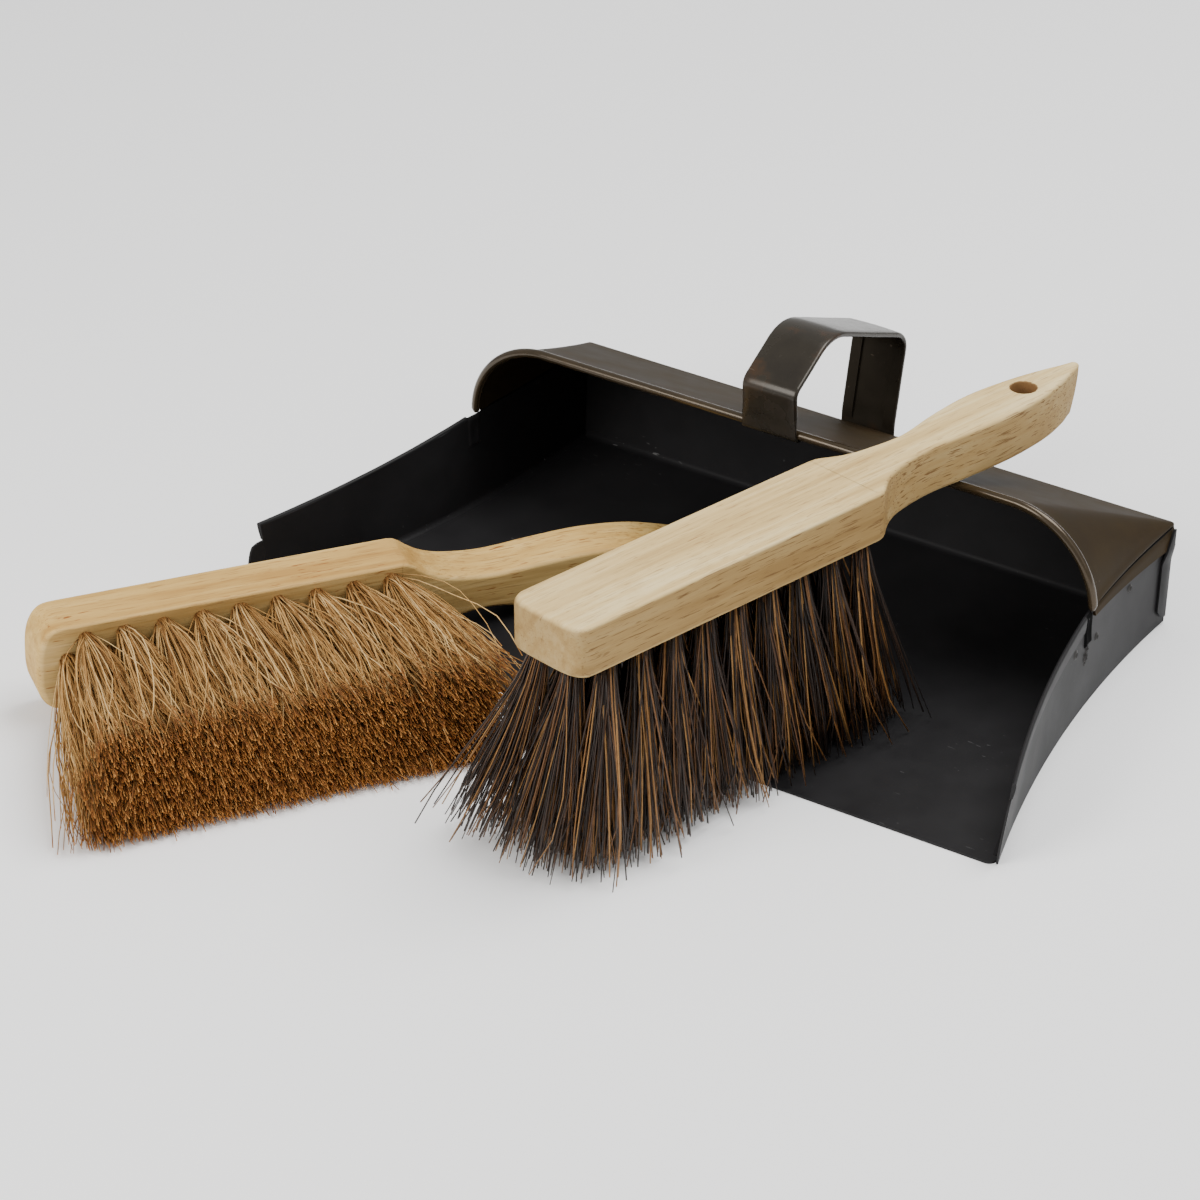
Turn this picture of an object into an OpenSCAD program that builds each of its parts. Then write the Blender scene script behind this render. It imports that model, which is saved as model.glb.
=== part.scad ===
// Dust pan and brush set: a hooded sheet-steel pan with a strap handle, and two wooden hand brushes.
// One brush bridges the mouth with its neck on the hood's rolled edge; the other lies on its side.
// Millimetres, +Z up, +Y from the mouth to the back wall, origin under the middle of the pan's floor.

/* [Drawing] */
// the sub-part to draw, or all of them

/* [Pan] */
// depth of the floor, from the mouth to the fold of the back wall
panDepth = 174.6; // [120:0.2:260]
// width of the floor along the back wall
backWidth = 264.6; // [180:0.2:360]
// how far each side has flared outwards by the mouth
mouthFlare = 32; // [0:1:50]
// thickness of the sheet steel
sheet = 0.9; // [0.6:0.1:1.6]
// height of the back wall
backHeight = 39.5; // [25:0.5:80]
// lean of the back wall from upright, in degrees
backLean = 6.5; // [0:0.5:15]
// lean of the side walls at the back, in degrees
sideLeanBack = 0.5; // [0:0.5:15]
// lean that the side walls gain towards the mouth, in degrees
sideLeanGain = 9; // [0:0.5:20]
// height of the side walls under the hood's front edge
sideHeight = 40; // [25:0.5:70]
// height of the side walls where their hem ends, near the mouth
mouthHeight = 30.5; // [15:0.5:50]
// height of the rounded lobe of single sheet in front of the hem
lobeHeight = 24; // [12:0.5:40]
// length of that lobe
lobeLength = 8; // [4:0.5:16]
// height of the folded hem along the top of each side wall
hemHeight = 6; // [3:0.5:10]
// width of the back wall's tabs, folded round onto the side walls
tabWidth = 7; // [4:0.5:12]

/* [Hood] */
// distance from the back fold forwards to the hood's front edge
hoodReach = 63.8; // [40:0.2:90]
// radius of the hood's front corners
hoodCorner = 34; // [15:0.5:45]
// radius of the rolled bead along the hood's front edge
beadRadius = 1.8; // [1:0.1:3]
// height of the hood's flanges over the side walls
flangeHeight = 4.5; // [3:0.5:9]
// height of the hood's flange over the back wall
rearFlange = 12; // [8:1:20]

/* [Handle] */
// width of the steel strap
strapWidth = 24; // [16:1:36]
// thickness of the strap
strapSheet = 1; // [0.8:0.1:2]
// width of the hem folded inwards along each edge of the strap
strapHem = 3; // [2:0.5:5]
// height of the front bend above the floor
legTop = 92.7; // [85:0.1:105]
// height of the highest bend above the floor
gripTop = 107; // [95:0.5:125]
// distance of the highest bend from the pan's middle
gripTopY = 47; // [40:0.5:60]
// height of the rear bend above the floor
gripRear = 82.2; // [70:0.2:95]
// distance of the rear bend from the pan's middle
gripRearY = 100.5; // [90:0.5:110]

/* [Brushes] */
// thickness of the wooden stocks
stockThick = 19.5; // [14:0.5:26]
// radius of the hanging hole
hangRadius = 4.9; // [3:0.1:7]
// free length of the bristles
bristleLength = 80; // [50:1:95]
// spacing of the tufts along a row
tuftPitch = 15.4; // [12:0.1:20]
// radius of a tuft where it leaves the stock
tuftRadius = 3.3; // [2:0.1:4]
// length of the coco brush's stock as a share of the bassine brush's
cocoStretch = 0.96; // [0.9:0.01:1.1]

/* [Hidden] */
$fn = 48;
seamGap = 0.03;
mouthY = -panDepth / 2;
backY = panDepth / 2;
hoodY = backY - hoodReach;
hemEndY = mouthY + lobeLength;
lipRadius = 3;
wallSteps = 16;
hoodSteps = 6;
arcSteps = 8;
rivetHeight = 35.5;
rivetSpacing = 6.5;
rivetRadius = 2.6;
rivetHead = 1.3;
rivetTail = 0.9;
footDrop = 12;
rimTrim = 0.2;
tabFoot = 3;
tabRound = 5;
flangeInset = 4;
hemRun = 32;

steel = [0.10, 0.095, 0.09];
hoodSteel = [0.16, 0.145, 0.125];
wood = [0.80, 0.71, 0.55];
cocoWood = [0.76, 0.65, 0.43];
bassineFibre = [0.17, 0.10, 0.06];
cocoFibre = [0.62, 0.41, 0.20];

// outline of a stock: distance along it, half width and sideways offset of the middle
stockStations = [
    [-5, 9, 0], [-4.5, 13, 0], [-3.2, 16, 0], [-1, 17.5, 0], [3, 18, 0], [8, 18, 0],
    [70, 18, 0], [134, 17.9, 0], [143, 17.7, 0], [146.5, 16.6, 0.2], [150.5, 14.2, 0.7],
    [156, 11.6, 1.2], [165, 9.3, 1.7], [181, 7.8, 2], [202, 10.2, 3.3],
    [222, 11.4, 4], [242, 9.6, 4.1], [257, 6.2, 4.5], [266, 3.4, 4.8], [271, 1.4, 4.9]
];
stationSteps = 2;
stockEdge = 1.4;
handleEdge = 2;
neckStart = 150;
ringCorner = 4;
hangPlace = [241, 4.3];

// rests of the two brushes: the middle of the block end's top edge, then turns about X, Y and Z
bassineRest = [34.9, -167.9, 103.9];
bassineTurn = [-0.8, 2.2, 77.8];
cocoRest = [-189.1, -184.6, 25.2];
cocoTurn = [-85.3, 1.9, 56.3];
tipClear = 1.4;
rowCount = 4;
rowTufts = 9;
rowSpacing = 8;
rowStart = 14.3;
rowStagger = 7.5;
rowMiddle = 72;
tipMiddle = 78;
tipSpread = 1.18;
ringPoints = 12;
bassineSplay = [-21, 27];
cocoSplay = [-22, 20];

// the side walls' surface: how far a place is from the back fold, then half width, lean and top edge
function gone(y) = (backY - y) / panDepth;
function floorHalf(y) = backWidth / 2 + mouthFlare * pow(gone(y), 2);
function sideLean(y) = sideLeanBack + sideLeanGain * pow(gone(y), 3);
function wallX(y, z) = floorHalf(y) + z * tan(sideLean(y));
function backFace(z) = backY + z * tan(backLean);
function mix(a, b, t) = a + (b - a) * t;
function wallTop(y) = y > hoodY
    ? mix(sideHeight, backHeight, (y - hoodY) / hoodReach)
    : mix(mouthHeight, sideHeight, (y - hemEndY) / (hoodY - hemEndY));
function wallPoint(y, z, out) = [wallX(y, z) + out, y, z];

// a closed plate between two grids of points; outer lies on the side of rows crossed with columns
module slab(inner, outer) {
    rows = len(inner);
    cols = len(inner[0]);
    count = rows * cols;
    points = [for (grid = [inner, outer]) for (row = grid) for (p = row) p];
    function at(i, j, side) = side * count + i * cols + j;
    function cell(i, j, s) = [at(i, j, s), at(i, j + 1, s), at(i + 1, j + 1, s), at(i + 1, j, s)];
    function back(q) = [q[3], q[2], q[1], q[0]];
    quads = [
        for (i = [0:rows - 2]) for (j = [0:cols - 2]) cell(i, j, 1),
        for (i = [0:rows - 2]) for (j = [0:cols - 2]) back(cell(i, j, 0)),
        for (i = [0:rows - 2]) [at(i, 0, 1), at(i + 1, 0, 1), at(i + 1, 0, 0), at(i, 0, 0)],
        for (i = [0:rows - 2])
            [at(i + 1, cols - 1, 1), at(i, cols - 1, 1), at(i, cols - 1, 0), at(i + 1, cols - 1, 0)],
        for (j = [0:cols - 2]) [at(0, j + 1, 1), at(0, j, 1), at(0, j, 0), at(0, j + 1, 0)],
        for (j = [0:cols - 2])
            [at(rows - 1, j, 1), at(rows - 1, j + 1, 1), at(rows - 1, j + 1, 0), at(rows - 1, j, 0)]
    ];
    faces = [for (q = quads) for (t = [[q[0], q[1], q[2]], [q[0], q[2], q[3]]]) t];
    polyhedron(points = points, faces = faces, convexity = 6);
}

// a plate on the side wall between two distances out from its inner face
module wallPlate(yStart, yEnd, steps, low, high, near, far) {
    function grid(out) = [
        for (i = [0:steps]) let (y = mix(yStart, yEnd, i / steps))
            [wallPoint(y, wallTop(y) - low, out), wallPoint(y, wallTop(y) - high, out)]
    ];
    slab(grid(near), grid(far));
}

module floorPanel() {
    ys = [for (i = [0:wallSteps]) mix(backY, hemEndY, i / wallSteps)];
    lipX = floorHalf(mouthY + lipRadius) - lipRadius;
    side = [
        for (y = ys) [floorHalf(y), y],
        for (a = [0:15:90]) [lipX + lipRadius * cos(a), mouthY + lipRadius - lipRadius * sin(a)]
    ];
    outline = concat(side, [for (i = [len(side) - 1:-1:0]) [-side[i][0], side[i][1]]]);
    color(steel) linear_extrude(sheet) polygon(outline);
}

// the wall proper runs from the hem's end to the back wall, and the lobe carries on in single sheet
module sideWall() {
    function wallGrid(out) = [
        for (i = [0:wallSteps]) [
            for (j = [0:1]) let (y0 = mix(hemEndY, backY, i / wallSteps))
                let (z = wallTop(y0) * j)
                wallPoint(mix(hemEndY, backFace(z), i / wallSteps), z, out)
        ]
    ];
    function lobeFront(v) = lobeLength * sqrt(1 - pow((v - 0.42) / 0.72, 2));
    function lobeGrid(out) = [
        for (i = [0:arcSteps]) [
            for (j = [0:arcSteps]) let (v = j / arcSteps)
                let (y = hemEndY - (1 - i / arcSteps) * (lobeFront(v) - rimTrim))
                wallPoint(y, v * (lobeHeight - 1.5 * pow(1 - i / arcSteps, 2)), out)
        ]
    ];
    slab(wallGrid(0), wallGrid(sheet));
    slab(lobeGrid(0), lobeGrid(sheet));
}

module wallHem() {
    near = sheet + seamGap;
    wallPlate(hemEndY, hoodY - beadRadius, 12, hemHeight, 0, near, near + sheet);
}

module cornerTab() {
    near = sheet + 4 * seamGap;
    top = backHeight - flangeHeight - 2 * seamGap;
    function grid(out) = [
        for (i = [0:2]) [
            for (j = [0:6]) let (z = mix(tabFoot + tabRound * pow(1 - i / 2, 2), top, j / 6))
                wallPoint(mix(backFace(z) - tabWidth, backFace(z), i / 2), z, out)
        ]
    ];
    slab(grid(near), grid(near + sheet));
}

module backPanel() {
    tall = backHeight / cos(backLean) - sheet * sin(backLean);
    low = wallX(backY, 0) + sheet;
    high = wallX(backY, backHeight) + sheet;
    foot = sheet * sin(backLean) * tan(backLean) + seamGap / 2;
    color(steel)
        translate([0, backY + foot, sheet * sin(backLean)])
            rotate([-backLean, 0, 0])
                translate([0, sheet, 0])
                    rotate([90, 0, 0])
                        linear_extrude(sheet)
                            polygon([[-low, 0], [low, 0], [high, tall - rimTrim], [-high, tall - rimTrim]]);
}

// one section of the hood from the right flange's edge over the crown to the left flange's edge
hoodFrontY = hoodY + beadRadius;
hoodRearY = backFace(backHeight) + sheet;
rearCorner = 2;
rearRise = 0.6;
function hoodSection(t, out) = let (
        y = mix(hoodFrontY, hoodRearY, t),
        footZ = wallTop(min(y, backY)),
        footX = wallX(y, footZ) + sheet + seamGap + out,
        reach = mix(hoodCorner, rearCorner, t) + out,
        rise = mix(hoodCorner, rearRise, t) + out,
        right = [
            [wallX(y, footZ - flangeHeight) + sheet + seamGap + out, y, footZ - flangeHeight],
            for (k = [0:arcSteps]) let (a = 90 * k / arcSteps)
                [footX - reach * (1 - cos(a)), y, footZ + rise * sin(a)]
        ]
    ) concat(right, [for (k = [len(right) - 1:-1:0]) [-right[k][0], y, right[k][2]]]);

module hoodShell() {
    inner = [for (i = [0:hoodSteps]) hoodSection(i / hoodSteps, 0)];
    outer = [for (i = [0:hoodSteps]) hoodSection(i / hoodSteps, sheet)];
    color(hoodSteel) slab(inner, outer);
}

module onBackWall(height, out) {
    translate([0, backY, 0])
        rotate([-backLean, 0, 0])
            translate([0, out, height])
                children();
}

module hoodRearFlange() {
    wide = 2 * (wallX(backY, backHeight) - flangeInset);
    color(hoodSteel)
        onBackWall(backHeight / cos(backLean) - rearFlange, sheet + seamGap)
            translate([-wide / 2, 0, 0])
                cube([wide, sheet, rearFlange - 2 * rimTrim]);
}

// the bead follows the middle of the hood's sheet
beadArc = hoodCorner + sheet / 2;
beadFootZ = wallTop(hoodFrontY);
beadX = wallX(hoodY, beadFootZ) + sheet + seamGap + sheet / 2 - beadArc;
beadTop = beadFootZ + beadArc;

module beadCorner() {
    translate([beadX, hoodY, beadFootZ])
        rotate([90, 0, 0])
            rotate_extrude(angle = 90)
                translate([beadArc, 0])
                    circle(beadRadius);
}

module hoodBead() {
    color(hoodSteel) {
        beadCorner();
        mirror([1, 0, 0]) beadCorner();
        translate([-beadX, hoodY, beadTop])
            rotate([0, 90, 0])
                cylinder(r = beadRadius, h = 2 * beadX);
    }
}

module beadTab() {
    tabTall = 12;
    tabWide = 5;
    wallPlate(hoodY - tabWide, hoodY, 2, tabTall, 0.5, -sheet - seamGap, -seamGap);
}

// a small round pad on the outside of the wall, squashed where the sheets were spot welded
module weldPad(y, z, r) {
    near = sheet + 2 * seamGap;
    rim = [for (a = [0:30:330]) [y + r * cos(a), z + r * sin(a)]];
    points = concat(
        [for (p = rim) wallPoint(p[0], p[1], near)],
        [for (p = rim) wallPoint(mix(y, p[0], 0.6), mix(z, p[1], 0.6), near + 0.5)]
    );
    n = len(rim);
    faces = [
        [for (k = [0:n - 1]) k],
        [for (k = [n - 1:-1:0]) n + k],
        for (k = [0:n - 1]) [k, n + k, (k + 1) % n],
        for (k = [0:n - 1]) [n + k, n + (k + 1) % n, (k + 1) % n]
    ];
    polyhedron(points = points, faces = faces, convexity = 2);
}

module weldMarks() {
    weldPad(hoodY + 35, 30, 2);
    weldPad(hoodY + 6, 25, 2);
    weldPad(hoodY - 15, 29, 2.6);
}

// the strap's route from the bead up over the grip and down onto the back wall
frontY = hoodY - beadRadius - strapSheet / 2;
function rearY(z) = backFace(z) + 2 * sheet / cos(backLean) + 2 * seamGap + strapSheet / 2;
rearFootZ = backHeight + 2;
strapRoute = [
    [frontY, beadTop], [frontY, legTop], [gripTopY, gripTop], [gripRearY, gripRear],
    [rearY(rearFootZ), rearFootZ], [rearY(rearFootZ - footDrop), rearFootZ - footDrop]
];
strapBends = [0, 5, 20, 9, 10, 0];

function unit(v) = v / norm(v);
function bend(p, i) = let (
        a = unit(p[i - 1] - p[i]),
        b = unit(p[i + 1] - p[i]),
        half = acos(a * b) / 2,
        r = strapBends[i],
        middle = p[i] + unit(a + b) * r / sin(half),
        from = p[i] + a * r / tan(half) - middle,
        to = p[i] + b * r / tan(half) - middle,
        start = atan2(from[1], from[0]),
        turn = atan2(from[0] * to[1] - from[1] * to[0], from * to)
    ) [
        for (k = [0:arcSteps]) let (angle = start + turn * k / arcSteps)
            middle + r * [cos(angle), sin(angle)]
    ];
function rounded(p) = [
    p[0],
    for (i = [1:len(p) - 2]) for (q = bend(p, i)) q,
    p[len(p) - 1]
];
function across(p, i) = let (t = unit(p[min(i + 1, len(p) - 1)] - p[max(i - 1, 0)])) [-t[1], t[0]];
function besides(p, d) = [for (i = [0:len(p) - 1]) p[i] + d * across(p, i)];
function reversed(p) = [for (i = [len(p) - 1:-1:0]) p[i]];

module band(route, low, high, wide) {
    line = rounded(route);
    rotate([90, 0, 90])
        linear_extrude(wide, center = true)
            polygon(concat(besides(line, low), reversed(besides(line, high))));
}

module handleStrap() {
    color(steel) band(strapRoute, -strapSheet / 2, strapSheet / 2, strapWidth);
}

// the hems stop short of the bead and of the hood's rear edge
module handleHem() {
    clearOfBead = [frontY, beadTop + beadRadius + 3];
    rearLeg = unit(strapRoute[4] - strapRoute[3]);
    clearOfHood = strapRoute[3] + rearLeg * hemRun;
    route = [clearOfBead, strapRoute[1], strapRoute[2], strapRoute[3], clearOfHood];
    band(route, -strapSheet * 1.5 - seamGap, -strapSheet / 2 - seamGap, strapHem);
}

module handleClip() {
    wrapTurn = 120;
    color(steel)
        translate([0, hoodY, beadTop])
            rotate([90, 0, 90])
                linear_extrude(strapWidth, center = true)
                    difference() {
                        circle(beadRadius + strapSheet);
                        circle(beadRadius + seamGap);
                        translate([-10, 0]) square([20, 10]);
                        rotate(wrapTurn - 180) square([10, 10]);
                    }
}

module handleRivets() {
    out = 2 * sheet + strapSheet + 3 * seamGap + 0.12;
    color(steel)
        for (side = [-1, 1])
            translate([side * rivetSpacing, 0, 0]) {
                onBackWall(rivetHeight, out)
                    rotate([-90, 0, 0])
                        cylinder(r1 = rivetRadius, r2 = rivetRadius * 0.6, h = rivetHead);
                onBackWall(rivetHeight, -seamGap)
                    rotate([90, 0, 0])
                        cylinder(r1 = rivetRadius, r2 = rivetRadius * 0.7, h = rivetTail);
            }
}

// smooth curve through the stations, then rounded sections joined end to end
function curve(a, b, c, d, t) = 0.5 * (2 * b + (c - a) * t + (2 * a - 5 * b + 4 * c - d) * t * t
    + (3 * b - a - 3 * c + d) * t * t * t);
function station(i) = stockStations[max(0, min(i, len(stockStations) - 1))];
function stations() = [
    for (i = [0:len(stockStations) - 2]) for (k = [0:stationSteps - 1])
        curve(station(i - 1), station(i), station(i + 1), station(i + 2), k / stationSteps),
    station(len(stockStations) - 1)
];
function ringAt(s, stretch) = let (
        r = min(s[0] > neckStart ? handleEdge : stockEdge, s[1] * 0.9),
        corners = [[1, 1, 0], [-1, 1, 90], [-1, -1, 180], [1, -1, 270]]
    ) [
        for (c = corners) for (k = [0:ringCorner - 1]) let (a = c[2] + 90 * k / (ringCorner - 1))
            [
                s[0] * stretch,
                s[2] + c[0] * (s[1] - r) + r * cos(a),
                -stockThick / 2 + c[1] * (stockThick / 2 - r) + r * sin(a)
            ]
    ];

module loft(rings) {
    n = len(rings[0]);
    m = len(rings);
    points = [for (ring = rings) for (p = ring) p];
    faces = [
        [for (k = [n - 1:-1:0]) k],
        [for (k = [0:n - 1]) (m - 1) * n + k],
        for (i = [0:m - 2]) for (k = [0:n - 1]) let (a = i * n, b = a + n, q = (k + 1) % n)
            each [[a + k, a + q, b + k], [a + q, b + q, b + k]]
    ];
    polyhedron(points = points, faces = [for (f = faces) reversed(f)], convexity = 6);
}

module stock(stretch, tint) {
    color(tint)
        difference() {
            loft([for (s = stations()) ringAt(s, stretch)]);
            translate([hangPlace[0] * stretch, hangPlace[1], -stockThick - 1])
                cylinder(r = hangRadius, h = stockThick + 2);
        }
}

// a tuft widens from its hole to its share of the trimmed face
function sign1(v) = v < 0 ? -1 : 1;
function tipPoint(cx, cy, hx, hy, a) = [
    cx + hx * sign1(cos(a)) * sqrt(abs(cos(a))),
    cy + hy * sign1(sin(a)) * sqrt(abs(sin(a)))
];

// height above the floor of a place on a brush turned by t and set down at rest
function lift(t, v) = -sin(t[1]) * v[0] + cos(t[1]) * sin(t[0]) * v[1] + cos(t[1]) * cos(t[0]) * v[2];
function trimZ(rest, t, x, y) = let (
        flat = -stockThick - bristleLength,
        high = (tipClear - rest[2] - lift(t, [x, y, 0])) / (cos(t[1]) * cos(t[0]))
    ) abs(t[0]) < 45 ? max(flat, high) : flat;
function lowSide(rest, t, x, splay) = abs(t[0]) < 45
    ? splay
    : min(splay, (rest[2] - tipClear - 0.3 + lift(t, [x, 0, -stockThick - bristleLength])) / cos(90 + t[0]));

module tuft(x, y, cell, rest, t) {
    angles = [for (k = [0:ringPoints - 1]) 360 * (k + 0.5) / ringPoints];
    root = [for (a = angles) [x + tuftRadius * cos(a), y + tuftRadius * sin(a), -stockThick - seamGap]];
    tip = [
        for (a = angles) let (p = tipPoint(cell[0], cell[1], cell[2], cell[3], a))
            [p[0], p[1], trimZ(rest, t, p[0], p[1])]
    ];
    n = ringPoints;
    middle = [cell[0], cell[1], trimZ(rest, t, cell[0], cell[1])];
    faces = [
        [for (k = [n - 1:-1:0]) k],
        for (k = [0:n - 1]) [n + k, n + (k + 1) % n, 2 * n],
        for (k = [0:n - 1]) [k, (k + 1) % n, n + k],
        for (k = [0:n - 1]) [(k + 1) % n, n + (k + 1) % n, n + k]
    ];
    polyhedron(points = concat(root, tip, [middle]), faces = faces, convexity = 2);
}

module tuftRow(row, stretch, rest, t, splay) {
    gap = 0.25;
    first = row % 2 == 0 ? rowStart : rowStart - rowStagger;
    halfX = tuftPitch * tipSpread * stretch / 2 - gap / 2;
    for (i = [0:rowTufts - 1]) {
        x = (first + i * tuftPitch) * stretch;
        y = (row - (rowCount - 1) / 2) * rowSpacing;
        tipX = (x - rowMiddle * stretch) * tipSpread + tipMiddle * stretch;
        wide = lowSide(rest, t, tipX + (t[0] < -45 ? halfX : 0), splay[1]) - splay[0];
        low = splay[0] + wide * row / rowCount + gap / 2;
        high = splay[0] + wide * (row + 1) / rowCount - gap / 2;
        tuft(x, y, [tipX, (low + high) / 2, halfX, (high - low) / 2], rest, t);
    }
}

module resting(rest, t) {
    translate(rest) rotate(t) children();
}

module bassineStock() {
    resting(bassineRest, bassineTurn) stock(1, wood);
}

module bassineRow(row) {
    color(bassineFibre)
        resting(bassineRest, bassineTurn)
            tuftRow(row, 1, bassineRest, bassineTurn, bassineSplay);
}

module cocoStock() {
    resting(cocoRest, cocoTurn) stock(cocoStretch, cocoWood);
}

module cocoRow(row) {
    color(cocoFibre)
        resting(cocoRest, cocoTurn)
            tuftRow(row, cocoStretch, cocoRest, cocoTurn, cocoSplay);
}

floorPanel();  // floor_panel
color(steel) sideWall();  // side_wall_right
color(steel) mirror([1, 0, 0]) sideWall();  // side_wall_left
backPanel();  // back_panel
color(steel) wallHem();  // wall_hem_right
color(steel) mirror([1, 0, 0]) wallHem();  // wall_hem_left
color(steel) cornerTab();  // corner_tab_right
color(steel) mirror([1, 0, 0]) cornerTab();  // corner_tab_left
hoodShell();  // hood_shell
hoodRearFlange();  // hood_rear_flange
hoodBead();  // hood_bead
color(steel) beadTab();  // bead_tab_right
color(steel) mirror([1, 0, 0]) beadTab();  // bead_tab_left
color(steel) weldMarks();  // weld_marks_right
color(steel) mirror([1, 0, 0]) weldMarks();  // weld_marks_left
handleStrap();  // handle_strap
color(steel) translate([(strapWidth - strapHem) / 2, 0, 0]) handleHem();  // handle_hem_right
color(steel) translate([-(strapWidth - strapHem) / 2, 0, 0]) handleHem();  // handle_hem_left
handleClip();  // handle_clip
handleRivets();  // handle_rivets
bassineStock();  // bassine_stock
bassineRow(0);  // bassine_row_1
bassineRow(1);  // bassine_row_2
bassineRow(2);  // bassine_row_3
bassineRow(3);  // bassine_row_4
cocoStock();  // coco_stock
cocoRow(0);  // coco_row_1
cocoRow(1);  // coco_row_2
cocoRow(2);  // coco_row_3
cocoRow(3);  // coco_row_4
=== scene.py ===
import math

import bmesh
import bpy
import numpy as np
from mathutils import Matrix, Vector, noise


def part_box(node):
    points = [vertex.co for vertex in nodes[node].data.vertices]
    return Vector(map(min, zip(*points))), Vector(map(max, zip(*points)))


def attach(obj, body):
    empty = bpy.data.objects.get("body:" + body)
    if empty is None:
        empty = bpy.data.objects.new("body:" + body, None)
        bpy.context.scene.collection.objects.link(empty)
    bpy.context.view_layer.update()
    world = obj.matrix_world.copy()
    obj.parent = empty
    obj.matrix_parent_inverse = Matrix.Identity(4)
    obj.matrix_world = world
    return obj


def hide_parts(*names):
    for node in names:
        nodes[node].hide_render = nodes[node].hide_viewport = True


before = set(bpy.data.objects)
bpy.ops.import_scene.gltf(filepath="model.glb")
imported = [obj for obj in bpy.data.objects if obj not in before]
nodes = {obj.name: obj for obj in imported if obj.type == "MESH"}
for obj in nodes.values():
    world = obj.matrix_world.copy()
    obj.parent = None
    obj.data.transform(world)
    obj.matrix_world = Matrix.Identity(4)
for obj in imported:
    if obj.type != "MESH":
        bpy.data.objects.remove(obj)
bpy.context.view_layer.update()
mm = 0.001
print("frame loaded:", len(nodes), "nodes")


# a long lens from the front right, a little above the pan
cameraSetup = {
    "place": (0.895, -1.3423, 0.9896),
    "aim": (-0.0261, -0.054, 0.030),
    "roll": -1.56,  # degrees
    "lens": 150.0,
}
lightSetup = {
    # name: place, aim, size, power, tint
    "keySoftbox": ((-0.45, -1.25, 0.85), (0.0, 0.0, 0.03), (0.9, 0.8), 19.0, (1.0, 0.985, 0.96)),
    "topSoftbox": ((0.45, 0.35, 1.5), (0.0, 0.0, 0.0), (1.2, 1.0), 32.0, (1.0, 1.0, 1.0)),
    "sideSoftbox": ((1.3, -0.1, 0.75), (0.0, 0.0, 0.05), (0.35, 0.8), 1.2, (0.97, 0.985, 1.0)),
}
stageSetup = {"half": 6.0, "tone": 0.93, "roughness": 0.9, "specular": 0.1, "air": 0.6}


def facing(place, aim):
    place = Vector(place)
    look = (Vector(aim) - place).to_track_quat("-Z", "Y").to_matrix().to_4x4()
    return Matrix.Translation(place) @ look


def addCamera(setup):
    data = bpy.data.cameras.new("studioCamera")
    data.lens = setup["lens"]
    data.sensor_width = 36.0
    data.clip_start, data.clip_end = 0.05, 20.0
    camera = bpy.data.objects.new("studioCamera", data)
    bpy.context.scene.collection.objects.link(camera)
    turn = Matrix.Rotation(math.radians(setup["roll"]), 4, "Z")
    camera.matrix_world = facing(setup["place"], setup["aim"]) @ turn
    bpy.context.scene.camera = camera


def addSoftbox(name, place, aim, size, power, tint):
    data = bpy.data.lights.new(name, "AREA")
    data.shape = "RECTANGLE"
    data.size, data.size_y = size
    data.energy = power
    data.color = tint
    lamp = bpy.data.objects.new(name, data)
    bpy.context.scene.collection.objects.link(lamp)
    lamp.matrix_world = facing(place, aim)


def addStage(setup):
    half = setup["half"]
    mesh = bpy.data.meshes.new("studioFloor")
    corners = [(-half, -half, 0), (half, -half, 0), (half, half, 0), (-half, half, 0)]
    mesh.from_pydata(corners, [], [(0, 1, 2, 3)])
    floor = bpy.data.objects.new("studioFloor", mesh)
    bpy.context.scene.collection.objects.link(floor)
    paint = bpy.data.materials.new("floorPaint")
    paint.use_nodes = True
    shader = paint.node_tree.nodes["Principled BSDF"]
    shader.inputs["Base Color"].default_value = (setup["tone"], setup["tone"], setup["tone"], 1)
    shader.inputs["Roughness"].default_value = setup["roughness"]
    shader.inputs["Specular IOR Level"].default_value = setup["specular"]
    mesh.materials.append(paint)
    world = bpy.data.worlds.new("studioAir")
    world.use_nodes = True
    air = world.node_tree.nodes["Background"]
    air.inputs["Color"].default_value = (1, 1, 1, 1)
    air.inputs["Strength"].default_value = setup["air"]
    bpy.context.scene.world = world


addCamera(cameraSetup)
for lampName, values in lightSetup.items():
    addSoftbox(lampName, *values)
addStage(stageSetup)
print("camera, lights and floor ready")


# short names for the node steps that the finishes share
def startFinish(name):
    finish = bpy.data.materials.new(name)
    finish.use_nodes = True
    tree = finish.node_tree
    return finish, tree, tree.nodes["Principled BSDF"]


def objectPlace(tree):
    return tree.nodes.new("ShaderNodeTexCoord").outputs["Object"]


def pointValue(tree, name, output):
    node = tree.nodes.new("ShaderNodeAttribute")
    node.attribute_name = name
    return node.outputs[output]


def stretched(tree, coords, scale, turn=(0, 0, 0)):
    mapping = tree.nodes.new("ShaderNodeMapping")
    mapping.inputs["Scale"].default_value = scale
    mapping.inputs["Rotation"].default_value = turn
    tree.links.new(coords, mapping.inputs["Vector"])
    return mapping.outputs["Vector"]


def cloud(tree, coords, scale, detail=4.0, rough=0.55, twist=0.0):
    node = tree.nodes.new("ShaderNodeTexNoise")
    node.inputs["Scale"].default_value = scale
    node.inputs["Detail"].default_value = detail
    node.inputs["Roughness"].default_value = rough
    node.inputs["Distortion"].default_value = twist
    tree.links.new(coords, node.inputs["Vector"])
    return node.outputs["Fac"]


def ramp(tree, value, stops):
    node = tree.nodes.new("ShaderNodeValToRGB")
    while len(node.color_ramp.elements) < len(stops):
        node.color_ramp.elements.new(0.5)
    for element, (place, tone) in zip(node.color_ramp.elements, stops):
        element.position = place
        element.color = (*tone, 1) if len(tone) == 3 else (tone[0], tone[0], tone[0], 1)
    tree.links.new(value, node.inputs["Fac"])
    return node.outputs["Color"]


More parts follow.
